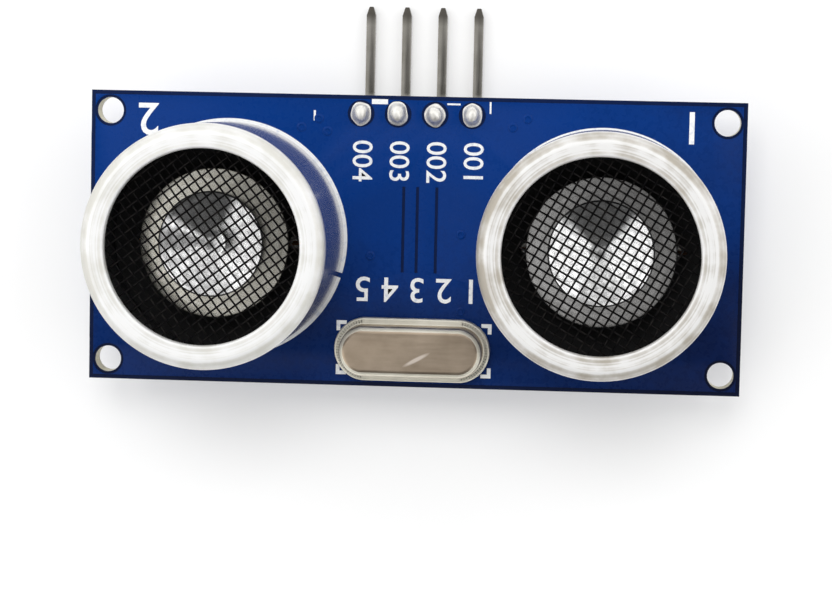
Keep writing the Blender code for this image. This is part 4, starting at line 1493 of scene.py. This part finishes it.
def lead_row(width, height, span, foot, count, pitch):
    """A row of bent leads on the +Y side of a package, and a row of soldered pads under their feet."""
    middle = STANDOFF + height / 2
    low = LEAD_THICKNESS / 2
    toe = span / 2
    heel = toe - foot
    knee = (width / 2 + heel) / 2
    path = [(width / 2 - LEAD_ROOT, middle), (knee - LEAD_BEND, middle), (knee, middle - LEAD_BEND)]
    path += [(heel - LEAD_BEND / 2, low + LEAD_BEND), (heel + LEAD_BEND / 2, low), (toe, low)]
    leads = coated(repeat_row(strip("lead", path, LEAD_WIDTH), count, pitch), TINNED_LEAD)
    pad = block("pad", (0.0, toe - foot / 2 + PAD_SHIFT, 0.0), (PAD_WIDTH, foot + PAD_EXTRA, PAD_HEIGHT))
    return leads, repeat_row(soften(pad, PAD_EDGE), count, pitch)


def moulded_body(name, length, width, height):
    """Epoxy body, widest at mid height, with softened edges."""
    body = block(name, (0.0, 0.0, STANDOFF + height / 2), (length, width, height))
    edit(body)
    pick("EDGE", tall_edge)
    bpy.ops.mesh.subdivide(number_cuts=1)
    pick("VERT", lambda vert: abs(vert.co.z) > 0.1)
    bpy.ops.transform.resize(value=(1 - 2 * BODY_DRAFT / length, 1 - 2 * BODY_DRAFT / width, 1.0))
    return coated(soften(body, BODY_EDGE, angle=25.0), EPOXY)


print("leads are", LEAD_WIDTH, "mm wide and", LEAD_THICKNESS, "mm thick")

# %% Packages
CHIP_WIDTH = 3.9
CHIP_HEIGHT = 1.45
CHIP_SPAN = 6.0
CHIP_FOOT = 0.6
CHIP_PITCH = 1.27
CHIP_END = 0.52
DIMPLE_INSET = 0.85
DIMPLE_RADIUS = 0.38
DIMPLE_DEPTH = 0.12
PACKAGES = [("driver_chip", 8, QUARTER), ("amplifier_chip", 7, QUARTER), ("controller_chip", 7, 0.0)]
TRANSISTOR_BODY = (2.9, 1.3, 1.0)
TRANSISTOR_SPAN = 2.4
TRANSISTOR_FOOT = 0.4
TRANSISTOR_PITCH = 1.9


def make_package(node, per_side, turn):
    """One flat package with leads on both long sides and a dimple at its first lead."""
    middle = bench_box(node).middle
    length = CHIP_PITCH * (per_side - 1) + 2 * CHIP_END
    body = moulded_body(node + "_moulded", length, CHIP_WIDTH, CHIP_HEIGHT)
    corner = (DIMPLE_INSET - length / 2, DIMPLE_INSET - CHIP_WIDTH / 2, STANDOFF + CHIP_HEIGHT)
    cut(body, disc("dimple", corner, DIMPLE_RADIUS, DIMPLE_DEPTH, steps=24))
    leads, pads = lead_row(CHIP_WIDTH, CHIP_HEIGHT, CHIP_SPAN, CHIP_FOOT, per_side, CHIP_PITCH)
    for row in (leads, pads):
        modify(row, "MIRROR", use_axis=(False, True, False))
    back_pads.append(turn_over(pads, middle, turn))
    package = turn_over(join(node + "_moulded", [body, leads]), middle, turn)
    return settle(package, "package", stands_for=[node])


def make_transistor():
    """Three-legged transistor: two leads on one side and one on the other."""
    middle = bench_box("transistor").middle
    _, width, height = TRANSISTOR_BODY
    pieces = [moulded_body("transistor_moulded", *TRANSISTOR_BODY)]
    for count, turn in ((2, 0.0), (1, math.pi)):
        leads, pads = lead_row(width, height, TRANSISTOR_SPAN, TRANSISTOR_FOOT, count, TRANSISTOR_PITCH)
        for row in (leads, pads):
            row.rotation_euler.z = turn
            fix_place(row)
        pieces.append(leads)
        back_pads.append(turn_over(pads, middle, QUARTER))
    transistor = turn_over(join("transistor_moulded", pieces), middle, QUARTER)
    return settle(transistor, "package", stands_for=["transistor"])


for package in PACKAGES:
    print(make_package(*package).name)
print(make_transistor().name)

# %% [markdown]
# ### Chip parts
# A chip part is a small ceramic block with a metal cap at each end, and solder climbs up each cap.
# Resistors wear a black coat with a plain number on it; capacitors are bare brown ceramic.

# %% Chip parts
CHIP_PART_WIDTH = 0.8
CHIP_BODY = 1.2
# The body is a little smaller than the caps at its ends
BODY_SHRINK = 0.05
CHIP_EDGE = 0.03
CAP_LENGTH = 0.3
CAP_PLACE = 0.65
CAP_EDGE = 0.05
FILLET_LENGTH = 0.30
FILLET_WIDTH = CHIP_PART_WIDTH * 0.92
FILLET_SINK = 0.02
FILLET_TOE = 0.08
FILLET_CLIMB = 0.65
CHIP_PAD = (0.85, 0.95, PAD_HEIGHT)
CHIP_PAD_PLACE = 0.88
COAT_SIZE = (0.98, CHIP_PART_WIDTH - 0.09, 0.05)
COAT_SINK = 0.02
COAT_EDGE = 0.015
NUMBER_HEIGHT = 0.40
NUMBER_COAT = 0.012
NUMBER_RISE = 0.008
TURNED_PARTS = ("resistor_4", "resistor_5", "resistor_6", "resistor_7", "capacitor_3", "capacitor_4")
# Each chip part's figures; capacitors carry none
CHIP_PARTS = {f"resistor_{index + 1}": text
              for index, text in enumerate(("102", "103", "472", "103", "101", "222", "103"))}
CHIP_PARTS |= {f"capacitor_{number}": "" for number in (1, 2, 3, 4)}
ALUMINA = plain_mottle("alumina", (0.80, 0.79, 0.76), 0.5, 0.0, 5.0)
BROWN_CERAMIC = plain_mottle("brown_ceramic", (0.34, 0.22, 0.125), 0.42, 0.0, 4.0)
END_TIN = plain_mottle("end_cap_tin", (0.78, 0.77, 0.75), 0.28, 1.0, 5.0)


def chip_end(side, height):
    """Metal cap and the wedge of solder in front of it, on one end of a chip part."""
    cap = block("cap", (side * CAP_PLACE, 0.0, height / 2), (CAP_LENGTH, CHIP_PART_WIDTH, height))
    soften(coated(cap, END_TIN), CAP_EDGE, segments=3)
    climb = height * FILLET_CLIMB
    reach = CAP_PLACE + CAP_LENGTH / 2 + FILLET_LENGTH / 2 - FILLET_SINK
    wedge = block("wedge", (side * reach, 0.0, climb / 2), (FILLET_LENGTH, FILLET_WIDTH, climb))
    edit(coated(wedge, SOLDER))
    pick("VERT", lambda vert: vert.co.x * side > 0 and vert.co.z > 0)
    bpy.ops.transform.translate(value=(0.0, 0.0, FILLET_TOE - climb))
    soften(wedge, CHIP_EDGE)
    pad = soften(block("pad", (side * CHIP_PAD_PLACE, 0.0, 0.0), CHIP_PAD), PAD_EDGE)
    return cap, wedge, fix_place(pad)


def make_chip_part(node, figures):
    """Resistor or capacitor, with its pads."""
    box = bench_box(node)
    height = box.size.z
    turn = QUARTER if node in TURNED_PARTS else 0.0
    size = (CHIP_BODY, CHIP_PART_WIDTH - BODY_SHRINK, height - BODY_SHRINK)
    body = soften(block(node + "_chip", (0.0, 0.0, height / 2), size), CHIP_EDGE)
    pieces = [coated(body, ALUMINA if figures else BROWN_CERAMIC)]
    for side in (-1, 1):
        cap, wedge, pad = chip_end(side, height)
        pieces += [cap, wedge]
        back_pads.append(turn_over(pad, box.middle, turn))
    if figures:
        coat = soften(block("coat", (0.0, 0.0, height - COAT_SINK), COAT_SIZE), COAT_EDGE)
        number = figure(figures, NUMBER_HEIGHT, NUMBER_COAT, (0.0, 0.0, height + NUMBER_RISE))
        pieces += [coated(coat, EPOXY), coated(number, WHITE_INK)]
    chip = turn_over(join(node + "_chip", pieces), box.middle, turn)
    return settle(chip, node.split("_")[0], stands_for=[node])


for node, figures in CHIP_PARTS.items():
    make_chip_part(node, figures)
pads = settle(join("back_pads", back_pads), "solder", SOLDER)
print(pads.name, "has", len(pads.data.polygons), "faces")

# %% [markdown]
# ### Copper and print on the back
# The back copper is cut like the front: gaps for the screw holes, the joints and the rows of pads, then
# gaps along the tracks. The gaps overlap, so they are taken out in several passes. Thin printed frames
# mark the places of the parts.

# %% Back copper
TRACK_WIDTH = 0.28
TRACK_GAP = 0.70
JOINT_GAP = 0.45
# How much wider than a part its gap in the copper is
PART_GAP = 1.1
HEADER_GAP = 0.4
PACKAGE_GAP = 0.9
# Half of the tracks; the other half mirrors them in X
HALF_TRACKS = [
    [(3.81, 7.4), (3.81, 6.8), (4.7, 5.9), (4.7, 4.9), (4.2, 4.4)],
    [(1.27, 7.4), (1.27, 6.6), (1.5, 6.37), (1.5, 4.6)],
    [(3.81, -2.7), (3.81, -5.6), (3.2, -6.2)],
    [(9.2, 3.2), (6.2, 3.2), (5.2, 2.2)],
    [(9.2, -3.2), (6.6, -3.2), (5.4, -2.0)],
]
BACK_TRACKS = [[(sx * x, y) for x, y in line] for line in HALF_TRACKS for sx in (-1, 1)]
BACK_VIAS = [(-5.2, 2.2), (5.2, 2.2), (-5.4, -2.0), (5.4, -2.0), (0.0, -5.2)]
BACK_VIAS += [(-9.5, 8.2), (9.5, 8.2), (-9.5, -8.2), (9.5, -8.2)]


def plan_gap(node, margin):
    """A block through the board's back that clears the outline of a CAD node."""
    box = bench_box(node)
    size = (box.size.x + margin, box.size.y + margin, GAP_DEPTH)
    return block("gap", (box.middle.x, box.middle.y, BACK), size)


def make_back_copper():
    """Copper plate of the back, its gaps and its tracks."""
    level = BACK - POUR_HEIGHT / 2
    plate = copper_sheet("back_copper", level)
    rounds = round_gaps(SCREW_PLACES, SCREW_GAP, BACK)
    for node in TERMINAL_JOINTS + CRYSTAL_JOINTS:
        box = bench_box(node)
        rounds += round_gaps([box.middle.xy], box.size.x / 2 + JOINT_GAP, BACK)
    cut(plate, *rounds)
    squares = [plan_gap(node, PART_GAP) for node in [*CHIP_PARTS, "transistor"]]
    cut(plate, *squares, plan_gap("header_block", HEADER_GAP))
    cut(plate, *[plan_gap(node, PACKAGE_GAP) for node, _, _ in PACKAGES])
    for line in BACK_TRACKS:
        cut(plate, tracks("gap", [line], TRACK_GAP, level, GAP_DEPTH / 2))
    settle(plate, "board", COPPER_UNDER_MASK)
    ridges = tracks("back_tracks", BACK_TRACKS, TRACK_WIDTH, BACK, POUR_HEIGHT)
    settle(ridges, "board", COPPER_UNDER_MASK)
    return plate


print(make_back_copper().name, make_via_ring("back_vias", BACK_VIAS, BACK - POUR_HEIGHT, -1).name)

# %% Back print
BACK_INK = BACK - INK_COAT / 2
FRAME_MARGIN = 1.2
FRAME_LINE = 0.13
PACKAGE_BAR = (3.6, 0.15)
PACKAGE_BAR_GAP = 0.75


def make_back_print():
    """Frames round the chip parts, and a bar at each end of a package."""
    ink = []
    for node in CHIP_PARTS:
        box = bench_box(node)
        length, width = box.size.x + FRAME_MARGIN, box.size.y + FRAME_MARGIN
        ink.append(ink_frame(box.middle, length, width, FRAME_LINE, BACK_INK))
    for node, _, turn in PACKAGES:
        box = bench_box(node)
        along = Vector((0.0, 1.0)) if turn else Vector((1.0, 0.0))
        reach = box.size.xy.dot(along) / 2 + PACKAGE_BAR_GAP
        for side in (-1, 1):
            x, y = box.middle.xy + along * side * reach
            ink.append(ink_bar(x, y, *PACKAGE_BAR, QUARTER - turn, BACK_INK))
    return settle(join("back_print", ink), "board", WHITE_INK)


print(make_back_print().name)
